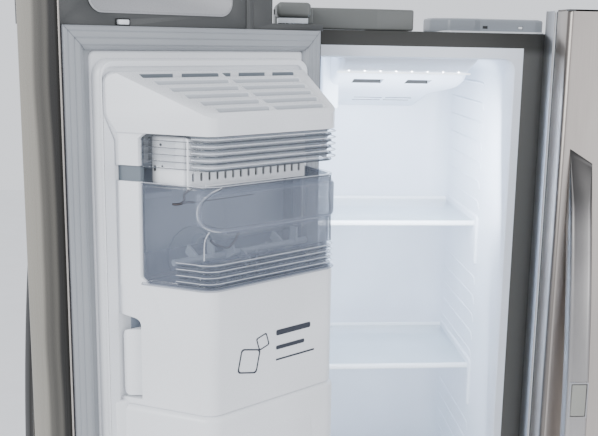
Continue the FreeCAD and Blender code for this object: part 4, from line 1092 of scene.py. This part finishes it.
def ice_maker():
    """The ice maker's mould, end case and slotted front, seen through the clear window."""
    top = TOP - 0.126
    outline = round_outline([(0.08, TOP - 0.172), (0.128, TOP - 0.172), (0.14, TOP - 0.16),
                             (0.14, TOP - 0.146), (0.08, TOP - 0.146)],
                            [0, 0.008, 0.004, 0, 0], 5)
    body = prism("body", outline, 0.095, 0.262, "x")
    centre = (0.112, TOP - 0.146)
    trough = [(centre[0] + 0.021 * math.cos(t), centre[1] + 0.021 * math.sin(t)) for t in circle(32)]
    body = cut(body, [prism("trough", trough, 0.099, 0.258, "x")])
    front = round_outline([(0.1405, TOP - 0.18), (0.144, TOP - 0.183), (0.144, top), (0.14, top + 0.002),
                           (0.1375, top), (0.1405, top - 0.004)],
                          [0.001, 0.0012, 0.003, 0, 0, 0], 4)
    cover = prism("cover", front, 0.096, 0.2715, "x")
    count, first, last = 15, 0.1057, 0.2641
    slots = []
    for k in range(count):
        u = first + (last - first) * k / (count - 1)
        slots.append(prism("slot", round_outline(rectangle(u - 0.0017, u + 0.0017, TOP - 0.1738,
                TOP - 0.164), 0.0016, 5), 0.13, 0.16, "y"))
    cover = cut(cover, slots)
    case_plan = round_outline([(0.2635, 0.08), (0.29, 0.08), (0.2725, 0.138), (0.2635, 0.138)],
                              [0, 0.016, 0.005, 0], 10)
    case = bevelled(prism("case", case_plan, TOP - 0.181, TOP - 0.1235, "z"), 0.004, 5, 50)
    back = block("back", (0.095, 0.272), (0.0615, 0.08), (TOP - 0.16, TOP - 0.13))
    whole = joined("maker", [body, case, back])
    whole.data.transform(FREEZER_DOOR)
    bevelled(whole, 0.0008, 2, 50)
    # The body takes the painted shade of the shaded white, darker towards the liner.
    finished(whole, "ice_maker_body", SHADED_WHITE, "freezer_door", ["ice_maker"])
    cover.data.transform(FREEZER_DOOR)
    bevelled(cover, 0.0004, 1, 60)
    finished(cover, "ice_maker_slotted_cover", WHITE, "freezer_door")
    shade = block("shade", (0.1, 0.26), (0.1388, 0.1398), (TOP - 0.175, TOP - 0.162))
    on_door(shade, "ice_maker_slot_shadow", BLACK, "dark_plastic")
    knobs = []
    for v, z, r, stretch in ((0.0975, TOP - 0.1615, 0.0016, 2.2), (0.106, TOP - 0.134, 0.0016, 1.0),
                             (0.108, TOP - 0.1585, 0.0012, 1.0)):
        ring = [(v + r * math.cos(t), z + r * stretch * math.sin(t)) for t in circle(16)]
        knobs.append(prism("knob", ring, 0.278, 0.288 - (v - 0.0885) * 0.3, "x"))
    marks = joined("knobs", knobs)
    on_door(marks, "ice_maker_switches", BLACK, "dark_plastic")


def shut_off_arm():
    """Bent wire that hangs in the bin and feels how full it is."""
    bent = [(0.15, 0.1475, TOP - 0.1795), (0.25, 0.1475, TOP - 0.1795), (0.265, 0.142, TOP - 0.1815),
            (0.2705, 0.135, TOP - 0.188), (0.2705, 0.1345, TOP - 0.195), (0.276, 0.134, TOP - 0.199),
            (0.285, 0.133, TOP - 0.1985)]
    foot = [(0.274, 0.1335, TOP - 0.1992), (0.265, 0.133, TOP - 0.1982), (0.256, 0.133, TOP - 0.1995)]
    stay = [(0.256, 0.133, TOP - 0.1995), (0.21, 0.133, TOP - 0.1992), (0.168, 0.133, TOP - 0.1988)]
    loop = [(0.231, 0.13, TOP - 0.248), (0.226, 0.13, TOP - 0.253), (0.215, 0.13, TOP - 0.258),
            (0.205, 0.13, TOP - 0.26),
            (0.197, 0.13, TOP - 0.255), (0.19, 0.13, TOP - 0.246), (0.191, 0.13, TOP - 0.2425),
            (0.206, 0.13, TOP - 0.2425)]
    shaft = tube("shaft", bent[:2], 0.0012, FREEZER_DOOR, 10)
    finished(shaft, "ice_shut_off_shaft", WHITE, "ice_shut_off_arm")
    parts = [bead(flowing(bent[2:], 8), 0.0014, 10), bead(flowing(foot, 6), 0.0014, 10),
             bead(stay, 0.0006, 8), bead(flowing(loop, 8), 0.0016, 10)]
    wire = joined("arm", parts)
    on_door(wire, "ice_shut_off_wire", WIRE, "zinc_steel", ["ice_shut_off_arm"], 60,
            body="ice_shut_off_arm")


ice_room_tabs()
lower_housing()
window_back()
clear_strip()
ice_bin()
bin_edges()
bin_cover()
printed_mark()
ice_maker()
shut_off_arm()


# ---- cabinet, freezer side
LINER_X = (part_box("evaporator_cover")[0].x - 0.0005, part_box("evaporator_cover")[1].x + 0.0005)
CEILING = TOP - 0.0372
LINER_FLOOR = 0.115
SHELF_TOPS = [TOP - d for d in (0.317, 0.575, 0.833, 1.091)]
SHELF_Y = (0.1605, 0.394)


def xz_ring(x0, x1, z0, z1, radius, y):
    """A rounded rectangle across the freezer at depth y."""
    return [(a, y, b) for a, b in round_outline(rectangle(x0, x1, z0, z1), radius, 8)]


def freezer_lining():
    """The white inner lining: a flange round the mouth, tapered walls and round back corners."""
    x0, x1 = LINER_X
    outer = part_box("freezer_liner")
    outline = rectangle(outer[0].x + 0.0002, outer[1].x - 0.0002, outer[0].z + 0.0002, outer[1].z - 0.0002)
    plate = prism("plate", outline, -0.0005, 0.0014, "y")
    mouth = prism("mouth", round_outline(rectangle(x0, x1, LINER_FLOOR, CEILING), 0.018, 8), -0.01, 0.01,
                  "y")
    plate = cut(plate, [mouth])
    finished(plate, "freezer_liner_flange", LINER_WHITE, "cabinet")
    stations = [(-0.0005, 0.0000, 0.018), (0.001, 0.001, 0.018), (0.004, 0.0022, 0.018),
                (0.05, 0.0032, 0.022),
                (0.38, 0.0055, 0.03), (0.396, 0.0085, 0.032), (0.408, 0.0145, 0.036),
                (0.416, 0.0215, 0.042),
                (0.4215, 0.031, 0.05), (0.4243, 0.043, 0.06)]
    floor_lift = 0.0005
    rings = [xz_ring(x0 + i, x1 - i, LINER_FLOOR + floor_lift + i * 0.2, CEILING - i, r, y) for y, i,
             r in stations]
    shell = loft("shell", rings, None, False)

    def close_back(bm):
        bm.verts.ensure_lookup_table()
        bm.faces.new(bm.verts[-len(rings[0]):])
        bmesh.ops.recalc_face_normals(bm, faces=bm.faces)
        for face in bm.faces:
            face.normal_flip()
    edited(shell, close_back)
    finished(shell, "freezer_liner_moulding", LINER_WHITE, "cabinet", ["evaporator_cover"],
             50)


def wall_ribs():
    """Shelf rests and fine level ribs moulded into both side walls."""
    parts = []
    pitch, rest_height = 0.0335, 0.052
    for side, wall in ((1, LINER_X[0] + 0.0046), (-1, LINER_X[1] - 0.0046)):
        for top in SHELF_TOPS:
            rest = [(0.15, top + 0.01), (0.392, top + 0.01), (0.392, top - 0.012), (0.235, top - 0.03),
                    (0.176, top - 0.052),
                    (0.164, top - 0.075), (0.15, top - 0.075)]
            pad = prism("pad", round_outline(rest, [0.008, 0.004, 0.004, 0.02, 0.012, 0.004, 0.004], 5),
                        min(wall - side * 0.006, wall + side * 0.0035),
                        max(wall - side * 0.006, wall + side * 0.0035), "x")
            parts.append(bevelled(pad, 0.003, 3, 40))
        z = SHELF_TOPS[0] + 0.235
        while z > SHELF_TOPS[-1] - 0.06:
            near = min(abs(z - (top - 0.03)) for top in SHELF_TOPS)
            if near > rest_height:
                x = wall - side * 0.0006
                line = [(x, 0.386, z), (x, 0.26, z), (x - side * 0.001, 0.172, z),
                        (x - side * 0.0014, 0.158, z - 0.0035),
                        (x - side * 0.0016, 0.152, z - 0.0125)]
                parts.append(bead(flowing(line, 5), 0.0026, 10))
            z -= pitch
    ribs = joined("ribs", parts)
    finished(ribs, "freezer_wall_ribs", LINER_WHITE, "cabinet", (), 45)


def duct_right_edge(y):
    """The ceiling housing widens behind the lamp and narrows again towards the back."""
    widening = 0.016 * smoothed((y - 0.06) / 0.12)
    narrowing = 0.034 * smoothed((y - 0.2) / 0.08)
    return -0.146 + widening - narrowing


def ceiling_duct():
    """The air duct's housing under the ceiling, with its vents, lamp strip and sensor box."""
    rings = []
    lamp_y, lamp_drop, slope = 0.064, 0.0625, 0.2153
    bottoms = [(0.012, 0.0385), (0.02, 0.047), (0.035, 0.0525), (0.05, 0.058), (0.0575, 0.0612),
               (lamp_y, lamp_drop)]
    bottoms += [(0.08 + 0.02 * k, lamp_drop + (0.14 - lamp_drop) * (0.016 + 0.02 * k) / 0.36)
                for k in range(18)]
    for y, depth in bottoms:
        x1 = duct_right_edge(y)
        z0 = TOP - depth
        height = CEILING + 0.001 - z0
        r = min(0.01, height * 0.8)
        outline = round_outline(rectangle(-0.352, x1, z0, CEILING + 0.001), [r, r, 0, 0], 6)
        rings.append([(a, y, b) for a, b in outline])
    duct = loft("duct", rings)
    openings = [(-0.32, -0.271, 0.129, 0.167), (-0.232, -0.192, 0.129, 0.167)]
    openings += [(x0, x1, y, y + 0.01) for x0, x1 in ((-0.296, -0.2435), (-0.238, -0.189))
                 for y in (0.318, 0.346)]
    vents, dark = [], []
    for x0, x1, y0, y1 in openings:
        low = TOP - lamp_drop - (y1 - lamp_y) * slope
        vents.append(block("vent", (x0, x1), (y0, y1), (TOP - 0.15, low + 0.022)))
        dark.append(block("dark", (x0, x1), (y1 - 0.001, y1 + 0.0006), (low + 0.0005, low + 0.022)))
        dark.append(block("dark", (x0, x1), (y0, y1), (low + 0.021, low + 0.0225)))
    duct = cut(duct, vents)
    finished(duct, "freezer_ceiling_duct", LINER_WHITE, "cabinet", ["freezer_duct_cover"],
             40)
    finished(joined("dark", dark), "duct_vent_shadow", BLACK, "cabinet")
    strip = prism("strip", round_outline([(0.0535, TOP - 0.061), (0.0595, TOP - 0.0632),
                                          (0.0625, TOP - 0.0644), (0.056, TOP - 0.064)], 0.0006, 2),
                  -0.3545, -0.147, "x")
    finished(strip, "freezer_lamp_strip", LAMP, "cabinet")
    points = [bead([(x, 0.056, TOP - 0.06), (x + 0.0022, 0.056, TOP - 0.06)], 0.0011, 8)
              for x in [-0.338 + 0.0245 * k for k in range(8)]]
    finished(joined("points", points), "freezer_lamp_points", LAMP_POINT, "cabinet")
    box_ = bevelled(block("box", (-0.366, -0.338), (0.19, 0.226), (TOP - 0.129, CEILING)), 0.003, 3)
    slit = block("slit", (-0.3395, -0.3375), (0.184, 0.231), (TOP - 0.12, TOP - 0.1185))
    finished(cut(box_, [slit]), "freezer_sensor_box", LINER_WHITE, "cabinet")


def freezer_shelves():
    """Glass shelves with white trims."""
    trims, panes = [], []
    x0, x1 = LINER_X[0] + 0.0005, LINER_X[1] - 0.0005
    for top in SHELF_TOPS:
        profile = round_outline([(SHELF_Y[0], top - 0.0085), (SHELF_Y[0] + 0.0075, top - 0.0085),
                                 (SHELF_Y[0] + 0.0075, top), (SHELF_Y[0], top)],
                                [0.003, 0.001, 0.001, 0.003], 4)
        trims.append(prism("front", profile, x0, x1, "x"))
        rear = round_outline([(SHELF_Y[1] - 0.004, top - 0.008), (SHELF_Y[1], top - 0.008),
                              (SHELF_Y[1], top + 0.004), (SHELF_Y[1] - 0.004, top + 0.004)], 0.001, 3)
        trims.append(prism("rear", rear, x0, x1, "x"))
        for x in (x0, x1 - 0.005):
            trims.append(bevelled(block("side", (x, x + 0.005), (SHELF_Y[0] + 0.0075, SHELF_Y[1] - 0.004),
                                        (top - 0.011, top - 0.0052)), 0.001, 2))
        panes.append(bevelled(block("pane", (x0 + 0.001, x1 - 0.001),
                                    (SHELF_Y[0] + 0.0062, SHELF_Y[1] - 0.0042), (top - 0.005, top - 0.001)),
                              0.0006, 2))
    finished(joined("trims", trims), "freezer_shelf_trims", GLASS_EDGE, "cabinet",
             ["freezer_shelf_frames"])
    finished(joined("panes", panes), "freezer_shelf_panes", GLASS, "cabinet",
             ["freezer_shelf_glass"])


freezer_lining()
wall_ribs()
ceiling_duct()
freezer_shelves()


# ---- cabinet top
def hinge_cover(side):
    """A moulded cover over an upper hinge: a long faceted box and a cap over the pin."""
    plan = [(0.4525, 0.0955), (0.2465, 0.0955), (0.2465, 0.015), (0.303, 0.0045), (0.406, 0.0045),
            (0.4525, 0.0045)]
    main = prism("main", round_outline([(side * x, y) for x, y in plan][::side], 0.0035, 4), TOP + 0.0004,
                 TOP + 0.031, "z")
    bevelled(main, 0.003, 4, 50)
    arm = bevelled(block("arm", tuple(sorted((side * 0.4065, side * 0.4525))), (-0.08, 0.06),
                         (TOP + 0.0147, TOP + 0.035)), 0.0055, 5)
    neck = bevelled(block("neck", tuple(sorted((side * 0.3985, side * 0.408))), (-0.012, 0.03),
                          (TOP + 0.0075, TOP + 0.029)), 0.002, 3)
    return joined("cover", [main, arm, neck])


def cabinet_top():
    """The hinge covers and the control cover on the roof."""
    finished(joined("covers", [hinge_cover(-1), hinge_cover(1)]), "hinge_cover_mouldings", COVER_GREY,
             "cabinet", ["hinge_covers"])
    plan = [(-0.172, 0.262), (-0.145, 0.2305), (-0.1, 0.2305), (-0.088, 0.24), (0.01, 0.24), (0.028, 0.25),
            (0.028, 0.3345), (-0.172, 0.3345)]
    body = prism("body", round_outline(plan, [0.02, 0.012, 0.006, 0.004, 0.006, 0.012, 0.012, 0.012], 5),
                 TOP + 0.0003, TOP + 0.025, "z")
    bevelled(body, 0.0045, 5, 45)
    windows = [block("window", (x - 0.0045, x + 0.0045), (0.236, 0.2425), (TOP + 0.0085, TOP + 0.0135))
               for x in (-0.079, -0.016)]
    body = cut(body, windows)
    finished(body, "control_cover_moulding", CONTROL_GREY, "cabinet", ["control_cover"])
    lip = prism("lip", round_outline([(-0.17, 0.262), (-0.144, 0.2275), (0.01, 0.2275), (0.0295, 0.248),
                                      (0.0295, 0.26), (-0.17, 0.27)],
                                     [0.01, 0.01, 0.006, 0.01, 0, 0], 5), TOP + 0.0002, TOP + 0.0042, "z")
    finished(bevelled(lip, 0.001, 2), "control_cover_lip", CONTROL_WHITE, "cabinet")
    lid = prism("lid", round_outline([(-0.166, 0.268), (-0.141, 0.237), (-0.098, 0.237), (-0.086, 0.246),
                                      (0.008, 0.246), (0.022, 0.255),
                                      (0.022, 0.3285), (-0.166, 0.3285)],
                                     [0.02, 0.012, 0.006, 0.004, 0.006, 0.012, 0.012, 0.012], 5),
                TOP + 0.0246, TOP + 0.0262, "z")
    finished(bevelled(lid, 0.0006, 2), "control_cover_lid", CONTROL_WHITE, "cabinet")
    glass = bevelled(block("glass", (-0.0195, -0.0125), (0.2405, 0.2424), (TOP + 0.009, TOP + 0.013)),
                     0.0004, 2)
    finished(glass, "control_cover_light", WHITE, "cabinet")
    black = block("black", (-0.083, -0.075), (0.2405, 0.2424), (TOP + 0.009, TOP + 0.013))
    finished(black, "control_cover_port", BLACK, "cabinet")


cabinet_top()


# ---- fridge door
def fridge_outer_door():
    """The outer door's steel shell, open towards the inner door."""
    top = FRIDGE_TOP
    outer = door_section(HINGE_U, FRIDGE_U, FRONT_V, -0.0062, 0.009)
    skin = prism("skin", outer, DOOR_BOTTOM, top, "z")
    hollow = door_section(HINGE_U + SHEET, FRIDGE_U - SHEET, FRONT_V + SHEET, 0.02, 0.008)
    skin = cut(skin, [prism("hollow", hollow, DOOR_BOTTOM - 0.01, top - SHEET, "z"),
                      block("low", (-0.03, 0.042), (-0.045, 0.01), (0, DOOR_BOTTOM + 0.045)),
                      block("high", (-0.03, 0.042), (-0.045, 0.01), (TOP - 0.045, TOP + 0.0065)),
                      *(block("bracket", (-0.03, 0.024), (-0.045, 0.01), (z - 0.002, z + 0.006))
                        for z in BRACKET_Z),
                      *hinge_rooms(-0.045, TOP + 0.06)])
    skin.data.transform(FRIDGE_DOOR)
    skin.data.flip_normals()
    outward(skin)
    bevelled(skin, 0.001, 2, 50)
    finished(skin, "outer_door_shell", OUTER_STEEL, "outer_door", ["outer_door_skin"])


def handle_arc(z):
    """Stand-off of a bowed handle at height z."""
    low, high = HANDLE_ENDS
    half = (high - low) / 2
    radius = (half * half + HANDLE_RISE * HANDLE_RISE) / (2 * HANDLE_RISE)
    offset = z - (low + high) / 2
    return math.sqrt(max(radius * radius - offset * offset, 0)) - (radius - HANDLE_RISE)


def bowed_handle(u0, u1, matrix):
    """A bar that bows away from the door; its ends slope towards the hinge side."""
    low, high = HANDLE_ENDS
    stations = 64
    taper, drop, bend = 0.16, 0.021, 2.2
    rings = []
    for k in range(stations + 1):
        t = -math.cos(math.pi * k / stations)
        z = (low + high) / 2 + (high - low) / 2 * t
        outer = max(handle_arc(z), 0.0012)
        inner = max(outer - HANDLE_DEPTH, -0.0004)
        v0, v1 = FRONT_V - outer, FRONT_V - inner
        r = min(0.009, (v1 - v0) * 0.45)
        back = min(0.006, (v1 - v0) * 0.3)
        outline = round_outline(rectangle(u0, u1, v0, v1), [r, r, back, back], 6)
        fade = max(0.0, 1 - (1 - abs(t)) / taper) * math.copysign(drop, t)
        rings.append([(a, b, z - fade * max(0.0, (u1 - a) / (u1 - u0)) ** bend) for a, b in outline])
    bar = loft("bar", rings, matrix)
    if matrix.determinant() < 0:
        outward(bar)
    return bar


def handles():
    """Both handles and the release button in the outer door's handle."""
    bar = bowed_handle(0.327, 0.361, FREEZER_DOOR)
    finished(bar, "freezer_handle_bar", FREEZER_HANDLE_STEEL, "freezer_door",
             ["freezer_door_handle"], 40)
    bar = bowed_handle(0.4405, 0.4745, FRIDGE_DOOR)
    low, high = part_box("outer_door_button")
    slot = block("slot", (low.x - 0.0004, high.x + 0.0004), (low.y - 0.006, high.y + 0.0042),
                 (low.z - 0.0004, high.z + 0.0004))
    bar = cut(bar, [slot])
    finished(bar, "fridge_handle_bar", HANDLE_STEEL, "outer_door", ["outer_door_handle"],
             40)
    rim = block("rim", (low.x - 0.003, high.x + 0.003), (low.y + 0.0006, low.y + 0.004),
                (low.z - 0.003, high.z + 0.003))
    rim = cut(rim, [block("in", (low.x - 0.0012, high.x + 0.0012), (low.y - 0.01, low.y + 0.01),
                          (low.z - 0.0012, high.z + 0.0012))])
    finished(bevelled(rim, 0.0004, 2), "outer_door_button_frame", SILVER, "outer_door")
    key = bevelled(block("key", (low.x, high.x), (low.y, high.y), (low.z, high.z)), 0.0016, 4)
    finished(key, "outer_door_release_button", BUTTON_GREY, "outer_door_button",
             ["outer_door_button"])


def fridge_inner_edge():
    """The inner door's steel-faced edge, which shows beside the outer door."""
    # The edge's steel carries painted shade towards the back.
    edge = bevelled(block("edge", (FRIDGE_U - 0.001, FRIDGE_U + 0.0004), (0.0072, 0.0448),
                          (DOOR_BOTTOM + 0.001, FRIDGE_TOP - 0.001)), 0.0004, 2)
    edge.data.transform(FRIDGE_DOOR)
    outward(edge)
    finished(edge, "inner_door_edge", EDGE_STEEL, "fridge_door")
    for name, inset, v, drop, radius in (("inner_door_front_bead", 0.0008, 0.0078, 0.003, 0.0009),
                                         ("inner_door_rear_bead", 0.001, 0.044, 0.006, 0.0011)):
        line = [(FRIDGE_U - inset, v, z) for z in (DOOR_BOTTOM + 0.003, FRIDGE_TOP - drop)]
        bead = tube("bead", line, radius, FRIDGE_DOOR, 10)
        finished(outward(bead), name, STEEL, "fridge_door")
    # Painted shadow: a black strip in the gap between the outer and the inner door.
    gap = block("gap", (FRIDGE_U - 0.006, FRIDGE_U - 0.003), (-0.0058, 0.0068),
                (DOOR_BOTTOM + 0.004, FRIDGE_TOP - 0.002), FRIDGE_DOOR)
    finished(outward(gap), "door_gap_shadow", BLACK, "fridge_door")


fridge_outer_door()
handles()
fridge_inner_edge()
gasket("fridge_gasket", 0.484, "fridge_door_gasket", "fridge_door", FRIDGE_DOOR)


# ---- camera, floor and light
def camera():
    """The camera stands in front of the open door, a little above the cabinet's middle height."""
    yaw, pitch, roll = [math.radians(a) for a in CAMERA_TURN]
    forward = Vector((math.sin(yaw) * math.cos(pitch), math.cos(yaw) * math.cos(pitch), -math.sin(pitch)))
    right = Vector((math.cos(yaw), -math.sin(yaw), 0))
    down = forward.cross(right)
    x = right * math.cos(roll) + down * math.sin(roll)
    y = right * math.sin(roll) - down * math.cos(roll)
    data = bpy.data.cameras.new("camera")
    data.sensor_width = 36.0
    data.lens = CAMERA_LENS
    data.shift_x, data.shift_y = CAMERA_SHIFT
    data.clip_start = 0.01
    ob = bpy.data.objects.new("camera", data)
    bpy.context.scene.collection.objects.link(ob)
    place = Matrix((x, y, -forward)).transposed().to_4x4()
    place.translation = CAMERA_PLACE
    ob.matrix_world = place
    bpy.context.scene.camera = ob


def area(name, place, target, size, power, color):
    """A rectangular lamp that looks at a target."""
    data = bpy.data.lights.new(name, "AREA")
    data.shape = "RECTANGLE"
    data.size, data.size_y = size
    data.energy = power
    data.color = color
    ob = bpy.data.objects.new(name, data)
    bpy.context.scene.collection.objects.link(ob)
    ob.location = place
    ob.rotation_euler = (Vector(target) - Vector(place)).to_track_quat("-Z", "Y").to_euler()


def studio():
    """A pale room: even sky, two soft lamps, two inside the freezer, a plain floor."""
    world = bpy.data.worlds.new("studio")
    bpy.context.scene.world = world
    world.use_nodes = True
    sky = world.node_tree.nodes["Background"]
    sky.inputs["Color"].default_value = WORLD_COLOR
    sky.inputs["Strength"].default_value = WORLD_STRENGTH
    for light in LIGHTS:
        area(*light)
    corners = rectangle(-FLOOR_HALF, FLOOR_HALF, -FLOOR_HALF, FLOOR_HALF)
    floor = piece("floor", [(x, y, 0) for x, y in corners], [(0, 1, 2, 3)])
    floor.data.materials.append(moulded("floor_paper", FLOOR_COLOR, 0.95, 40.0, 0.0, 0.01))


def carried_nodes():
    """Materials of the CAD nodes that are shown as they are."""
    looks = {
        STRIP: ["front_face_frame"], CASE: ["outer_case"],
        BLACK: ["dispenser_housing", "dispenser_paddle", "drip_tray", "evaporator_fan", "condenser_fan",
                "rear_roller_left", "rear_roller_right", "power_cord_gland", "kick_plate"],
        DARK_CAP: ["outer_door_panel"],
        LINER_WHITE: ["freezer_liner", "fridge_liner", "fridge_duct_and_lamp"],
        WHITE: ["fridge_inner_door", "ice_ejector"],
        CLEAR: ["freezer_drawer_lower", "freezer_drawer_upper", "crisper_lower", "crisper_upper",
                "freezer_door_baskets", "fridge_door_baskets"],
        GLASS: ["fridge_shelves"],
        # The ice auger takes the wall's painted shade.
        GASKET: ["outer_door_gasket"], WALL_SHADE: ["ice_auger"],
        FOAM: ["cabinet_foam", "freezer_door_foam"],
        ZINC: ["upper_hinges", "lower_hinges", "levelling_leg_left", "levelling_leg_right", "fan_motors",
               "water_valve"],
        BLACK_STEEL: ["compressor", "condenser_coil", "base_frame"],
        ALUMINIUM: ["evaporator_coil"], GALVANISED: ["rear_covers"],
    }
    for material, names in looks.items():
        for name in names:
            data = frame["nodes"][name].data
            data.materials.clear()
            data.materials.append(material)


carried_nodes()
camera()
studio()
